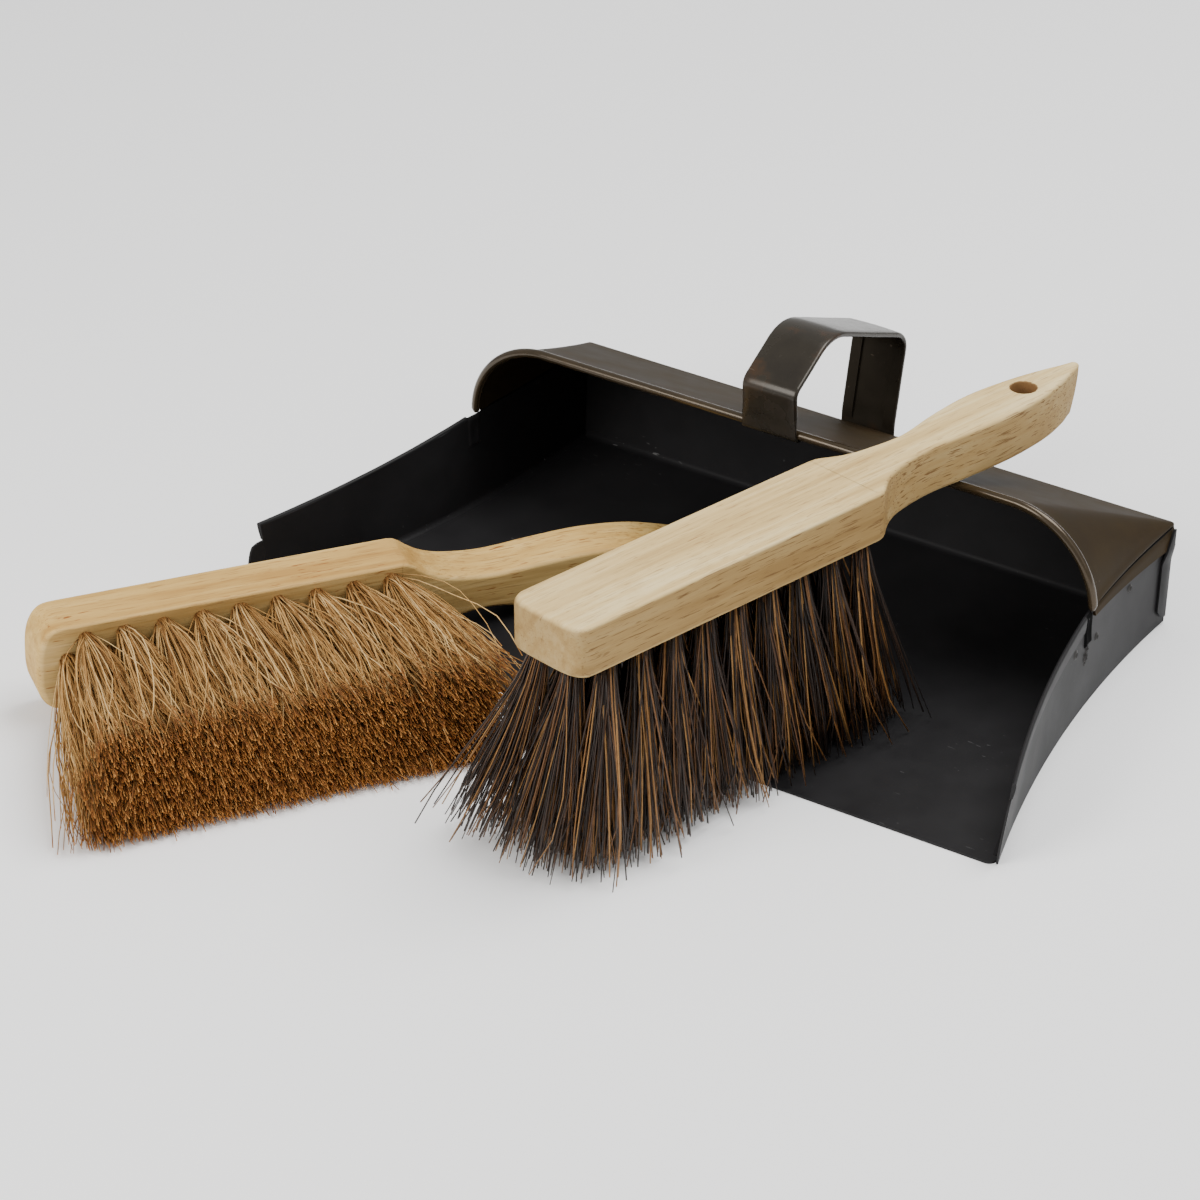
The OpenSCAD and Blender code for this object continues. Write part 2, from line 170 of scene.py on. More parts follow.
def blendTones(tree, share, first, second, kind="MIX"):
    node = tree.nodes.new("ShaderNodeMix")
    node.data_type = "RGBA"
    node.blend_type = kind
    for value, socket in ((share, node.inputs[0]), (first, node.inputs[6]), (second, node.inputs[7])):
        if isinstance(value, (int, float)):
            socket.default_value = value
        elif isinstance(value, tuple):
            socket.default_value = (*value, 1)
        else:
            tree.links.new(value, socket)
    return node.outputs[2]


def sums(tree, kind, first, second=0.5, clamp=False):
    node = tree.nodes.new("ShaderNodeMath")
    node.operation = kind
    node.use_clamp = clamp
    for value, socket in ((first, node.inputs[0]), (second, node.inputs[1])):
        if isinstance(value, (int, float)):
            socket.default_value = value
        else:
            tree.links.new(value, socket)
    return node.outputs[0]


def weighed(tree, first, firstShare, second, secondShare):
    return sums(
        tree, "ADD",
        sums(tree, "MULTIPLY", first, firstShare), sums(tree, "MULTIPLY", second, secondShare),
    )


def spread(tree, value, low, high, outLow, outHigh):
    node = tree.nodes.new("ShaderNodeMapRange")
    node.inputs["From Min"].default_value = low
    node.inputs["From Max"].default_value = high
    node.inputs["To Min"].default_value = outLow
    node.inputs["To Max"].default_value = outHigh
    tree.links.new(value, node.inputs["Value"])
    return node.outputs["Result"]


def relief(tree, shader, height, strength, distance):
    node = tree.nodes.new("ShaderNodeBump")
    node.inputs["Strength"].default_value = strength
    node.inputs["Distance"].default_value = distance
    tree.links.new(height, node.inputs["Height"])
    tree.links.new(node.outputs["Normal"], shader.inputs["Normal"])


# black stoving lacquer over sheet steel, browner and glossier on the hood and the handle
panSteelLook = {
    "dark": (0.0112, 0.0108, 0.0115),
    "light": (0.0175, 0.0169, 0.0177),
    "scratch": (0.085, 0.085, 0.085),
    "scratchFrom": 0.54,
    "rust": 0.0,
    "roughness": (0.38, 0.52),
    "specular": 0.14,
    "tint": (1.0, 1.0, 1.0),
    "coat": 0.0,
    "waviness": 0.0007,
}
hoodSteelLook = {
    "dark": (0.0170, 0.0118, 0.0062),
    "light": (0.036, 0.0248, 0.0128),
    "scratch": (0.11, 0.09, 0.065),
    "scratchFrom": 0.54,
    "rust": 0.15,
    "roughness": (0.54, 0.70),
    "specular": 0.08,
    "tint": (1.0, 0.80, 0.58),
    "coat": 0.0,
    "waviness": 0.0004,
}
handleSteelLook = {
    "dark": (0.010, 0.0085, 0.0065),
    "light": (0.026, 0.0215, 0.0155),
    "scratch": (0.13, 0.10, 0.075),
    "scratchFrom": 0.50,
    "rust": 0.5,
    "roughness": (0.20, 0.34),
    "specular": 0.34,
    "tint": (1.0, 0.93, 0.84),
    "coat": 0.08,
    "waviness": 0.0003,
}
foldSteelLook = {
    **panSteelLook, "scratch": (0.13, 0.13, 0.13), "scratchFrom": 0.46, "specular": 0.06,
}
weldSteelLook = {
    **panSteelLook, "light": (0.05, 0.047, 0.044), "scratchFrom": 0.44, "waviness": 0.0003,
}
# near-black, dull steel: painted shade for the slot in the bead tab and for the groove over the flange
paintedShadeSteelLook = {
    **panSteelLook, "dark": (0.003, 0.003, 0.003), "light": (0.007, 0.007, 0.007),
    "roughness": (0.75, 0.9), "specular": 0.03,
}
beadSteelLook = {
    **hoodSteelLook, "roughness": (0.15, 0.24), "specular": 0.45, "coat": 0.25, "waviness": 0.0001,
}
rustTone = (0.060, 0.026, 0.009)


def lacquer(name, look):
    finish, tree, shader = startFinish(name)
    coords = objectPlace(tree)
    broad = cloud(tree, coords, 9.0, 3.0)
    mottle = cloud(tree, coords, 60.0, 6.0, 0.6)
    grain = cloud(tree, coords, 900.0, 3.0, 0.6)
    share = weighed(tree, broad, 0.6, mottle, 0.4)
    tone = blendTones(tree, spread(tree, share, 0.36, 0.64, 0, 1), look["dark"], look["light"])
    # fine scuffs: thin streaks that show only where a broad patch lets them
    slanted = stretched(tree, coords, (140, 900, 500), (0.3, 0.2, 0.7))
    streak = cloud(tree, slanted, 1.0, 2.0, 0.5, 0.4)
    streakLine = spread(tree, streak, 0.715, 0.735, 0, 1)
    start = look["scratchFrom"]
    patch = spread(tree, cloud(tree, coords, 23.0, 2.0), start, start + 0.1, 0, 0.8)
    speck = spread(tree, cloud(tree, coords, 520.0, 2.0), 0.745, 0.77, 0, 1)
    scuff = sums(tree, "MULTIPLY", sums(tree, "MAXIMUM", streakLine, speck), patch, True)
    tone = blendTones(tree, scuff, tone, look["scratch"])
    if look["rust"]:
        stain = spread(tree, cloud(tree, coords, 38.0, 7.0, 0.65), 0.56, 0.68, 0, look["rust"])
        tone = blendTones(tree, stain, tone, rustTone)
    tree.links.new(tone, shader.inputs["Base Color"])
    # scuffs are duller than the lacquer round them
    gloss = spread(tree, share, 0.35, 0.65, *look["roughness"])
    dulled = sums(tree, "ADD", gloss, sums(tree, "MULTIPLY", scuff, 0.2))
    tree.links.new(dulled, shader.inputs["Roughness"])
    shader.inputs["Specular IOR Level"].default_value = look["specular"]
    shader.inputs["Specular Tint"].default_value = (*look["tint"], 1)
    shader.inputs["Coat Weight"].default_value = look["coat"]
    shader.inputs["Coat Roughness"].default_value = 0.15
    wave = cloud(tree, coords, 26.0, 1.0, 0.4)
    skin = sums(tree, "MULTIPLY", grain, 0.02)
    relief(tree, shader, sums(tree, "ADD", wave, skin), 1.0, look["waviness"])
    return finish


panSteel = lacquer("panSteel", panSteelLook)
hoodSteel = lacquer("hoodSteel", hoodSteelLook)
beadSteel = lacquer("beadSteel", beadSteelLook)
handleSteel = lacquer("handleSteel", handleSteelLook)
foldSteel = lacquer("foldSteel", foldSteelLook)
weldSteel = lacquer("weldSteel", weldSteelLook)
paintedShadeSteel = lacquer("paintedShadeSteel", paintedShadeSteelLook)

paleWoodLook = {
    "base": (0.615, 0.445, 0.195),
    "dark": (0.485, 0.325, 0.125),
    "light": (0.70, 0.55, 0.285),
    "pore": (0.25, 0.13, 0.045),
    "poreShare": (0.42, 0.9),  # on the broad faces, on the sides
    "fleck": (0.24, 0.115, 0.04),
    "fleckShare": 0.55,
    "paintedSideShade": (0.54, 0.485, 0.41),
    "hole": (0.241, 0.0043, 0.0),
    "holeTone": (0.23, 0.115, 0.042),
}
fleckedWoodLook = {
    "base": (0.585, 0.395, 0.145),
    "dark": (0.455, 0.275, 0.085),
    "light": (0.69, 0.50, 0.22),
    "pore": (0.28, 0.14, 0.04),
    "poreShare": (0.35, 0.6),
    "fleck": (0.27, 0.090, 0.020),
    "fleckShare": 0.95,
    "paintedSideShade": (0.90, 0.83, 0.66),
    "hole": (0.2314, 0.0043, 0.0),
    "holeTone": (0.23, 0.115, 0.042),
}


def sandedWood(name, look):
    # grain runs along the piece's own X, and its top face lies at own Z = 0
    finish, tree, shader = startFinish(name)
    coords = pointValue(tree, "ownPlace", "Vector")
    split = tree.nodes.new("ShaderNodeSeparateXYZ")
    tree.links.new(coords, split.inputs[0])
    halfThick = 0.00975
    depth = sums(tree, "ABSOLUTE", sums(tree, "ADD", split.outputs["Z"], halfThick))
    onSide = spread(tree, depth, 0.0083, 0.0096, 1, 0)
    broad = cloud(tree, stretched(tree, coords, (6, 60, 40)), 1.0, 3.0, 0.5, 0.6)
    band = cloud(tree, stretched(tree, coords, (8, 330, 260)), 1.0, 5.0, 0.62, 0.3)
    pore = cloud(tree, stretched(tree, coords, (75, 1500, 1500)), 1.0, 2.0, 0.55)
    share = weighed(tree, broad, 0.5, band, 0.5)
    tone = ramp(tree, share, [(0.38, look["dark"]), (0.5, look["base"]), (0.61, look["light"])])
    # open pores show as short dashes, stronger where the sides cut across them
    poreStrength = spread(tree, onSide, 0, 1, *look["poreShare"])
    onEnd = spread(tree, split.outputs["X"], -0.003, 0.002, 0.25, 1)
    poreStrength = sums(tree, "MULTIPLY", poreStrength, onEnd)
    dashes = sums(tree, "MULTIPLY", spread(tree, pore, 0.575, 0.65, 0, 1), poreStrength)
    tone = blendTones(tree, dashes, tone, look["pore"])
    # dark flecks gather in patches
    fleckNoise = cloud(tree, stretched(tree, coords, (120, 900, 900)), 1.0, 2.0, 0.5)
    patchNoise = cloud(tree, stretched(tree, coords, (22, 90, 90)), 1.0, 2.0)
    fleckPatch = spread(tree, patchNoise, 0.44, 0.58, 0, 1)
    fleckLine = spread(tree, fleckNoise, 0.64, 0.69, 0, look["fleckShare"])
    tone = blendTones(tree, sums(tree, "MULTIPLY", fleckLine, fleckPatch), tone, look["fleck"])
    # handling dirt in soft patches
    dirt = spread(tree, cloud(tree, coords, 46.0, 5.0, 0.6), 0.54, 0.72, 0, 0.3)
    tone = blendTones(tree, dirt, tone, look["dark"])
    # the narrow sides and ends are multiplied by a painted shade, so they read darker than the broad
    # faces
    shaded = blendTones(tree, 1.0, tone, look["paintedSideShade"], "MULTIPLY")
    tone = blendTones(tree, onSide, tone, shaded)
    # darker brown inside the hanging hole
    flatPlace = tree.nodes.new("ShaderNodeVectorMath")
    flatPlace.operation = "MULTIPLY"
    flatPlace.inputs[1].default_value = (1, 1, 0)
    tree.links.new(coords, flatPlace.inputs[0])
    fromHole = tree.nodes.new("ShaderNodeVectorMath")
    fromHole.operation = "DISTANCE"
    fromHole.inputs[1].default_value = look["hole"]
    tree.links.new(flatPlace.outputs["Vector"], fromHole.inputs[0])
    ragged = sums(tree, "MULTIPLY", cloud(tree, coords, 900.0, 3.0), 0.0012)
    edge = sums(tree, "SUBTRACT", fromHole.outputs["Value"], ragged)
    tone = blendTones(tree, spread(tree, edge, 0.0045, 0.0049, 0.9, 0), tone, look["holeTone"])
    tree.links.new(tone, shader.inputs["Base Color"])
    tree.links.new(spread(tree, share, 0.35, 0.65, 0.62, 0.78), shader.inputs["Roughness"])
    shader.inputs["Specular IOR Level"].default_value = 0.28
    relief(tree, shader, weighed(tree, band, 0.5, dashes, -0.6), 0.5, 0.00025)
    return finish


paleWood = sandedWood("paleWood", paleWoodLook)
fleckedWood = sandedWood("fleckedWood", fleckedWoodLook)


def fibreFinish(name, look):
    # each strand carries its own tone and how far along it a place lies
    finish, tree, shader = startFinish(name)
    coords = objectPlace(tree)
    own = ramp(tree, pointValue(tree, "strandTone", "Fac"), look["tones"])
    streak = cloud(tree, coords, 420.0, 3.0, 0.6)
    # random streaks are mixed towards a darker tone: painted shade for the gaps between strands
    own = blendTones(tree, spread(tree, streak, 0.4, 0.7, 0, 0.35), own, look["paintedGapShade"])
    run = ramp(tree, pointValue(tree, "strandRun", "Fac"), look["run"])
    tree.links.new(blendTones(tree, 1.0, own, run, "MULTIPLY"), shader.inputs["Base Color"])
    tree.links.new(spread(tree, streak, 0.3, 0.7, *look["roughness"]), shader.inputs["Roughness"])
    shader.inputs["Specular IOR Level"].default_value = look["gloss"]
    relief(tree, shader, cloud(tree, coords, 1500.0, 2.0), 0.35, 0.0002)
    return finish


bassineLook = {
    "tones": [
        (0.0, (0.010, 0.0060, 0.0042)),
        (0.42, (0.034, 0.016, 0.0075)),
        (0.64, (0.115, 0.046, 0.013)),
        (0.85, (0.25, 0.112, 0.028)),
        (1.0, (0.39, 0.205, 0.064)),
    ],
    "paintedGapShade": (0.035, 0.016, 0.007),
    "run": [(0.0, (0.75,)), (0.3, (1.0,)), (1.0, (1.0,))],
    "roughness": (0.38, 0.6),
    "gloss": 0.45,
}
cocoLook = {
    "tones": [
        (0.0, (0.20, 0.088, 0.020)),
        (0.35, (0.36, 0.178, 0.048)),
        (0.7, (0.56, 0.325, 0.105)),
        (1.0, (0.72, 0.49, 0.215)),
    ],
    "paintedGapShade": (0.25, 0.11, 0.028),
    "run": [
        (0.0, (0.55, 0.42, 0.30)), (0.10, (0.92,)), (0.90, (0.92,)),
        (0.955, (0.50, 0.35, 0.21)), (0.99, (0.66, 0.46, 0.28)), (1.0, (1.0, 0.74, 0.48)),
    ],
    "roughness": (0.5, 0.7),
    "gloss": 0.25,
}
bassineFibre = fibreFinish("bassineFibre", bassineLook)
cocoFibre = fibreFinish("cocoFibre", cocoLook)
print("finishes ready")


# pieces are built in mesh code, straight in the row frame
def setOwnPlace(mesh, place):
    # where each point lies along the piece's own axes, for grain that follows the piece
    co = np.empty(len(mesh.vertices) * 3)
    mesh.vertices.foreach_get("co", co)
    back = np.array(place.inverted())
    own = co.reshape(-1, 3) @ back[:3, :3].T + back[:3, 3]
    layer = mesh.attributes.get("ownPlace") or mesh.attributes.new("ownPlace", "FLOAT_VECTOR", "POINT")
    layer.data.foreach_set("vector", own.astype(np.float32).ravel())


def addPiece(name, verts, faces, finish, body, place=None, turnOut=False):
    mesh = bpy.data.meshes.new(name)
    mesh.from_pydata([tuple(v) for v in verts], [], [tuple(f) for f in faces])
    if turnOut:
        loose = bmesh.new()
        loose.from_mesh(mesh)
        bmesh.ops.recalc_face_normals(loose, faces=loose.faces)
        loose.to_mesh(mesh)
        loose.free()
    mesh.materials.append(finish)
    if place is not None:
        mesh.transform(place)
        setOwnPlace(mesh, place)
    mesh.shade_smooth()
    piece = bpy.data.objects.new(name, mesh)
    bpy.context.scene.collection.objects.link(piece)
    bpy.context.view_layer.update()
    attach(piece, body)
    return piece


def softenEdges(piece, width):
    bevel = piece.modifiers.new("softEdge", "BEVEL")
    bevel.width = width
    bevel.segments = 2
    bevel.limit_method = "ANGLE"
    bevel.angle_limit = math.radians(35)
    bevel.harden_normals = True


def rounded(piece):
    piece.data.shade_smooth()
    piece.data.set_sharp_from_angle(angle=math.radians(40))


def localFrame(rest, turn):
    x, y, z = (math.radians(a) for a in turn)
    spin = Matrix.Rotation(z, 4, "Z") @ Matrix.Rotation(y, 4, "Y") @ Matrix.Rotation(x, 4, "X")
    return Matrix.Translation(Vector(rest) * mm) @ spin


# the pan's sheet: flared sides under a hood that falls to the back wall
panShape = {
    "backWidth": 264.6, "flare": 32.0, "sheet": 0.9, "gap": 0.03,
    "backHeight": 39.5, "backLean": 6.5, "leanBack": 0.5, "leanGain": 9.0,
    "sideHeight": 40.0, "mouthHeight": 30.5, "lobeHeight": 24.0, "lobeLength": 8.0,
    "hoodReach": 63.8, "dent": 0.28,
}
floorLow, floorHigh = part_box("floor_panel")
mouthY, backY = floorLow[1] / mm, floorHigh[1] / mm
hoodY = backY - panShape["hoodReach"]
hemEndY = mouthY + panShape["lobeLength"]
sheet, gap = panShape["sheet"], panShape["gap"]


def mix(a, b, t):
    return a + (b - a) * t


def gone(y):
    return (backY - y) / (backY - mouthY)


def wallX(y, z):
    lean = math.radians(panShape["leanBack"] + panShape["leanGain"] * gone(y) ** 3)
    return panShape["backWidth"] / 2 + panShape["flare"] * gone(y) ** 2 + z * math.tan(lean)


def backFace(z):
    return backY + z * math.tan(math.radians(panShape["backLean"]))


def wallTop(y):
    if y > hoodY:
        return mix(panShape["sideHeight"], panShape["backHeight"], (y - hoodY) / panShape["hoodReach"])
    return mix(panShape["mouthHeight"], panShape["sideHeight"], (y - hemEndY) / (hoodY - hemEndY))


def bump(value, middle, width):
    return math.exp(-((value - middle) / width) ** 2)


def plate(inner, outer):
    # a closed sheet between two grids of points
    rows, cols = len(inner), len(inner[0])
    verts = [p for grid in (outer, inner) for line in grid for p in line]
    faces = []

    def at(i, j, side):
        return side * rows * cols + i * cols + j

    for i in range(rows - 1):
        for j in range(cols - 1):
            faces.append((at(i, j, 0), at(i, j + 1, 0), at(i + 1, j + 1, 0), at(i + 1, j, 0)))
            faces.append((at(i, j, 1), at(i + 1, j, 1), at(i + 1, j + 1, 1), at(i, j + 1, 1)))
        for j, first, second in ((0, 0, 1), (cols - 1, 1, 0)):
            faces.append((at(i, j, first), at(i + 1, j, first), at(i + 1, j, second), at(i, j, second)))
    for j in range(cols - 1):
        for i, first, second in ((0, 1, 0), (rows - 1, 0, 1)):
            faces.append((at(i, j, first), at(i, j + 1, first), at(i, j + 1, second), at(i, j, second)))
    return verts, faces


def ringFaces(ring, count, flip=False):
    # faces of a closed tube through equal rings of points
    faces = [tuple(range(ring))[::-1], tuple((count - 1) * ring + k for k in range(ring))]
    for i in range(count - 1):
        for k in range(ring):
            q = (k + 1) % ring
            faces.append((i * ring + k, i * ring + q, (i + 1) * ring + q, (i + 1) * ring + k))
    return [(face[0],) + face[:0:-1] for face in faces] if flip else faces


def swept(sections):
    verts = [p for section in sections for p in section]
    return verts, ringFaces(len(sections[0]), len(sections))


def gridOf(across, up, pointAt):
    return [[pointAt(i / across, j / up) for j in range(up + 1)] for i in range(across + 1)]


def joined(parts):
    verts, faces = [], []
    for partVerts, partFaces in parts:
        faces += [tuple(index + len(verts) for index in face) for face in partFaces]
        verts += partVerts
    return verts, faces


def addSteel(name, part, finish, replaced=(), side=1, edge=0.2):
    verts, faces = part
    placed = [(side * x * mm, y * mm, z * mm) for x, y, z in verts]
    piece = addPiece(name, placed, faces, finish, "pan", turnOut=True)
    piece.data.set_sharp_from_angle(angle=math.radians(38))
    if edge:
        softenEdges(piece, edge * mm)
    if replaced:
        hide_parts(*replaced)


wallShape = {
    "along": 72, "up": 14, "crease": 0.35, "creaseY": 4.0,
    "lobeSteps": 10, "lobeWaist": 0.42, "lobeSpread": 0.72, "lobeDip": 1.5,
}


def wallPart(side):
    shape = wallShape

    def skin(y, z, base):
        # thin sheet shows soft dents, and a crease where it was folded over the former
        ripple = panShape["dent"] * noise.noise(Vector((y * 0.032, z * 0.045, 3.0 + side)))
        crease = shape["crease"] * bump(y, shape["creaseY"], 2.5) if side < 0 else 0.0
        return (wallX(y, z) + base + (ripple - crease) * min(1.0, z / 8.0), y, z)

    def wallGrid(base):
        def point(share, high):
            z = wallTop(mix(hemEndY, backY, share)) * high
            return skin(mix(hemEndY, backFace(z), share), z, base)
        return gridOf(shape["along"], shape["up"], point)

    def lobeGrid(base):
        def point(share, high):
            bow = math.sqrt(1 - ((high - shape["lobeWaist"]) / shape["lobeSpread"]) ** 2)
            y = hemEndY - (1 - share) * (panShape["lobeLength"] * bow - 0.2)
            z = high * (panShape["lobeHeight"] - shape["lobeDip"] * (1 - share) ** 2)
            return skin(y, z, base)
        return gridOf(shape["lobeSteps"], 2 * shape["lobeSteps"], point)

    return joined([plate(wallGrid(0), wallGrid(sheet)), plate(lobeGrid(0), lobeGrid(sheet))])


rollShape = {"tall": 6.0, "steps": 48, "arcSteps": 10, "stopShort": 6.2, "swell": 0.12}


def rollPart():
    # the side's top edge is folded outwards over itself
    shape = rollShape
    outer = 2 * sheet + gap
    radius = outer / 2
    profile = [(outer - 0.55, -shape["tall"]), (outer - 0.1, -3.0), (outer, -1.0)]
    for k in range(shape["arcSteps"] + 1):
        a = math.pi * k / shape["arcSteps"]
        profile.append((radius + radius * math.cos(a), radius * 0.9 * math.sin(a)))
    profile += [(sheet + gap, 0.0), (sheet + gap, -shape["tall"])]
    sections = []
    for i in range(shape["steps"] + 1):
        y = mix(hemEndY, hoodY - shape["stopShort"], i / shape["steps"])
        top = wallTop(y)
        swell = shape["swell"] * noise.noise(Vector((y * 0.08, 1.7, 0.4)))
        sections.append([
            (wallX(y, top + up) + out + swell * (out > radius), y, top + up) for out, up in profile
        ])
    return swept(sections)


tabShape = {
    "wide": 7.0, "across": 8, "up": 26, "bulge": 0.45, "foot": 3.0, "footRound": 5.0,
    "top": 39.2, "narrowFrom": 27.0, "narrowing": 0.85, "lap": 0.95,
}


def tabPart():
    # the back wall's ends wrap round onto the sides, and narrow where they lap over the flange
    shape = tabShape
    near = sheet + 4 * gap

    def grid(base):
        def point(share, high):
            z = mix(shape["foot"] + shape["footRound"] * (1 - share) ** 2, shape["top"], high)
            climb = max(0.0, (z - shape["narrowFrom"]) / (shape["top"] - shape["narrowFrom"]))
            wide = shape["wide"] * (1 - shape["narrowing"] * climb ** 1.3)
            y = mix(backFace(z) - wide, backFace(z), share)
            swell = shape["bulge"] * math.sin(math.pi * high) * math.sin(math.pi * share)
            lap = shape["lap"] * min(1.0, climb * 2.5)
            return (wallX(y, z) + base + swell + lap, y, z)
        return gridOf(shape["across"], shape["up"], point)

    return plate(grid(near), grid(near + sheet))


hoodShape = {
    "corner": 34.0, "rearCorner": 2.0, "rearRise": 0.6, "flange": (3.4, 8.0), "bead": 1.8,
    "along": 36, "arcSteps": 26, "topSteps": 40, "groove": 0.85, "lip": 0.95, "dent": 0.22,
    "flangeSteps": (4.5, 3.4, 2.4, 1.6, 1.0, 0.5),
}
hoodFrontY = hoodY + hoodShape["bead"]
hoodRearY = backFace(panShape["backHeight"]) + sheet


def hoodPart():
    shape = hoodShape
    deepest = shape["flangeSteps"][0]

    def line(t, out, dress):
        y = mix(hoodFrontY, hoodRearY, t)
        footZ = wallTop(min(y, backY))
        reach = mix(shape["corner"], shape["rearCorner"], t) + out
        rise = mix(shape["corner"], shape["rearRise"], t) + out
        footX = wallX(y, footZ) + sheet + gap + out
        right = []
        # the flange, then a pressed groove where the corner's cone starts
        for below in shape["flangeSteps"]:
            z = footZ - below * mix(*shape["flange"], t) / deepest
            dip = -shape["groove"] * bump(below, 0, 1.0) + 0.25 * bump(below, deepest, 1.2)
            right.append((wallX(y, z) + sheet + gap + out + dip * dress, y, z))
        for k in range(shape["arcSteps"] + 1):
            a = math.pi / 2 * (k / shape["arcSteps"]) ** 1.5
            run = rise * a
            dip = -shape["groove"] * bump(run, 0, 0.9) + shape["lip"] * bump(run, 2.6, 1.5) * (1 - t)
            x = footX + dip * dress - reach * (1 - math.cos(a))
            right.append((x, y, footZ + rise * math.sin(a)))
        innerX, topZ = footX - reach, footZ + rise
        middle = []
        for k in range(1, shape["topSteps"]):
            x = mix(innerX, -innerX, k / shape["topSteps"])
            edge = min(1.0, min(t, 1 - t) * 6)
            dent = shape["dent"] * noise.noise(Vector((x * 0.02, y * 0.03, 8.0))) * edge
            middle.append((x, y, topZ + dent * dress))
        return right + middle + [(-x, y, z) for x, y, z in reversed(right)]

    shares = [i / shape["along"] for i in range(shape["along"] + 1)]
    return plate([line(t, 0.0, 0) for t in shares], [line(t, sheet, 1) for t in shares])


rearFoldShape = {
    "sheet": 0.84, "bend": 0.12, "drop": 11.4, "tuck": 0.6,
    "along": 90, "bendSteps": 8, "downSteps": 8, "mitre": 5.0, "mitreRun": 6.0,
    "cornerWide": 2.45, "cornerRise": 1.05,  # the hood's own rear corner, halfway through its sheet
}


def rearFoldPart():
    # the hood's rear edge turns down over the back wall, with mitred ends
    shape = rearFoldShape
    lean = math.radians(panShape["backLean"])
    footZ = wallTop(backY)
    innerX = wallX(backY, footZ) + sheet + gap - hoodShape["rearCorner"]
    middleZ = footZ + hoodShape["rearRise"] + 0.03 - shape["bend"]

    def line(share, out):
        radius = shape["bend"] + out
        profile = [(hoodRearY - shape["tuck"], middleZ + radius, 0.0)]
        for k in range(shape["bendSteps"] + 1):
            a = (math.pi / 2 + lean) * k / shape["bendSteps"]
            profile.append((hoodRearY + radius * math.sin(a), middleZ + radius * math.cos(a), 0.0))
        y, z = profile[-1][:2]
        for k in range(1, shape["downSteps"] + 1):
            down = shape["drop"] * k / shape["downSteps"]
            profile.append((y - down * math.sin(lean), z - down * math.cos(lean), down))
        points = []
        for y, z, down in profile:
            x = share * (innerX + 1.6 - shape["mitre"] * min(1.0, down / shape["mitreRun"]))
            past = min(1.0, max(0.0, abs(x) - innerX) / shape["cornerWide"])
            points.append((x, y, z - shape["cornerRise"] * (1 - math.sqrt(1 - past * past))))
        return points

    # closer lines towards both ends, where the corner rounds over
    halfTurns = [math.pi * (i / shape["along"] - 0.5) for i in range(shape["along"] + 1)]
    shares = [math.sin(a) for a in halfTurns]
    return plate([line(t, 0.0) for t in shares], [line(t, shape["sheet"]) for t in shares])


creaseShape = {"radius": 0.5, "sides": 8, "steps": 48, "sink": 0.12}


def creaseShadePart():
    # a near-black strip lies in the groove over the flange as painted shade
    shape = creaseShape
    turns = [2 * math.pi * k / shape["sides"] for k in range(shape["sides"])]
    sections = []
    for i in range(shape["steps"] + 1):
        t = i / shape["steps"]
        y = mix(hoodFrontY + 0.5, hoodRearY - 1.5, t)
        z = wallTop(min(y, backY)) + 0.25
        x = wallX(y, z) + 2 * sheet + gap - shape["sink"] - shape["radius"]
        thin = shape["radius"] * min(1.0, 0.3 + 6 * min(t, 1 - t))
        sections.append([(x + thin * math.cos(a), y, z + thin * math.sin(a)) for a in turns])
    return swept(sections)


beadShape = {
    "radius": 1.8, "sides": 28, "arcSteps": 30, "topSteps": 60, "seam": 0.3, "seamAt": 150.0,
    "endShare": 0.55,
}
beadArc = hoodShape["corner"] + sheet / 2
beadFootZ = wallTop(hoodFrontY)
beadMiddleX = wallX(hoodY, beadFootZ) + sheet + gap + sheet / 2 - beadArc
beadTop = beadFootZ + beadArc


def beadPart():
    # the hood's front edge is rolled round a wire, with its seam turned inwards
    shape = beadShape
    arc = []
    for k in range(shape["arcSteps"] + 1):
        a = math.pi / 2 * k / shape["arcSteps"]
        arc.append((beadMiddleX + beadArc * math.cos(a), beadFootZ + beadArc * math.sin(a), a))
    path = list(arc)
    for k in range(1, shape["topSteps"]):
        path.append((mix(beadMiddleX, -beadMiddleX, k / shape["topSteps"]), beadTop, math.pi / 2))
    path += [(-x, z, math.pi - a) for x, z, a in reversed(arc)]
    sections = []
    for index, (x, z, a) in enumerate(path):
        close = shape["endShare"] if index in (0, len(path) - 1) else 1.0
        section = []
        for k in range(shape["sides"]):
            b = 2 * math.pi * k / shape["sides"]
            seam = shape["seam"] * bump(b, math.radians(shape["seamAt"]), 0.16)
            radius = (shape["radius"] - seam) * close
            out = radius * math.cos(b)
            section.append((x + out * math.cos(a), hoodY - radius * math.sin(b), z + out * math.sin(a)))
        sections.append(section)
    return swept(sections)


foldShape = {"radius": 2.2, "arcSteps": 6, "steps": 60, "sink": 0.3, "lap": 0.05}


def foldPart(first, last, face, placed):
    # the sheet turns up from the floor in a small bend
    shape = foldShape
    radius = shape["radius"]
    sections = []
    for i in range(shape["steps"] + 1):
        along = mix(first, last, i / shape["steps"])
        section = [placed(along, face(along, sheet) + shape["sink"], sheet - shape["sink"])]
        for k in range(shape["arcSteps"] + 1):
            a = math.pi / 2 * k / shape["arcSteps"]
            z = sheet + radius - radius * math.cos(a)
            lap = shape["lap"] if k == shape["arcSteps"] else 0.0
            section.append(placed(along, face(along, z) - radius + radius * math.sin(a) + lap, z))
        sections.append(section)
    return swept(sections)


def sideFoldPart():
    return foldPart(mouthY + 5.0, backY - 0.3, wallX, lambda along, out, z: (out, along, z))


def backFoldPart():
    half = panShape["backWidth"] / 2 - 0.3
    return foldPart(half, -half, lambda along, z: backFace(z), lambda along, out, z: (along, out, z))


weldShape = {
    # distance behind the hood's front edge, height, radius
    "marks": ((35.0, 30.0, 1.9), (6.0, 25.0, 1.9), (-15.0, 29.0, 2.3)),
    "rise": (-0.02, 0.06, 0.55, 0.30, -0.12),
    "sides": 24, "rough": 0.12,
}


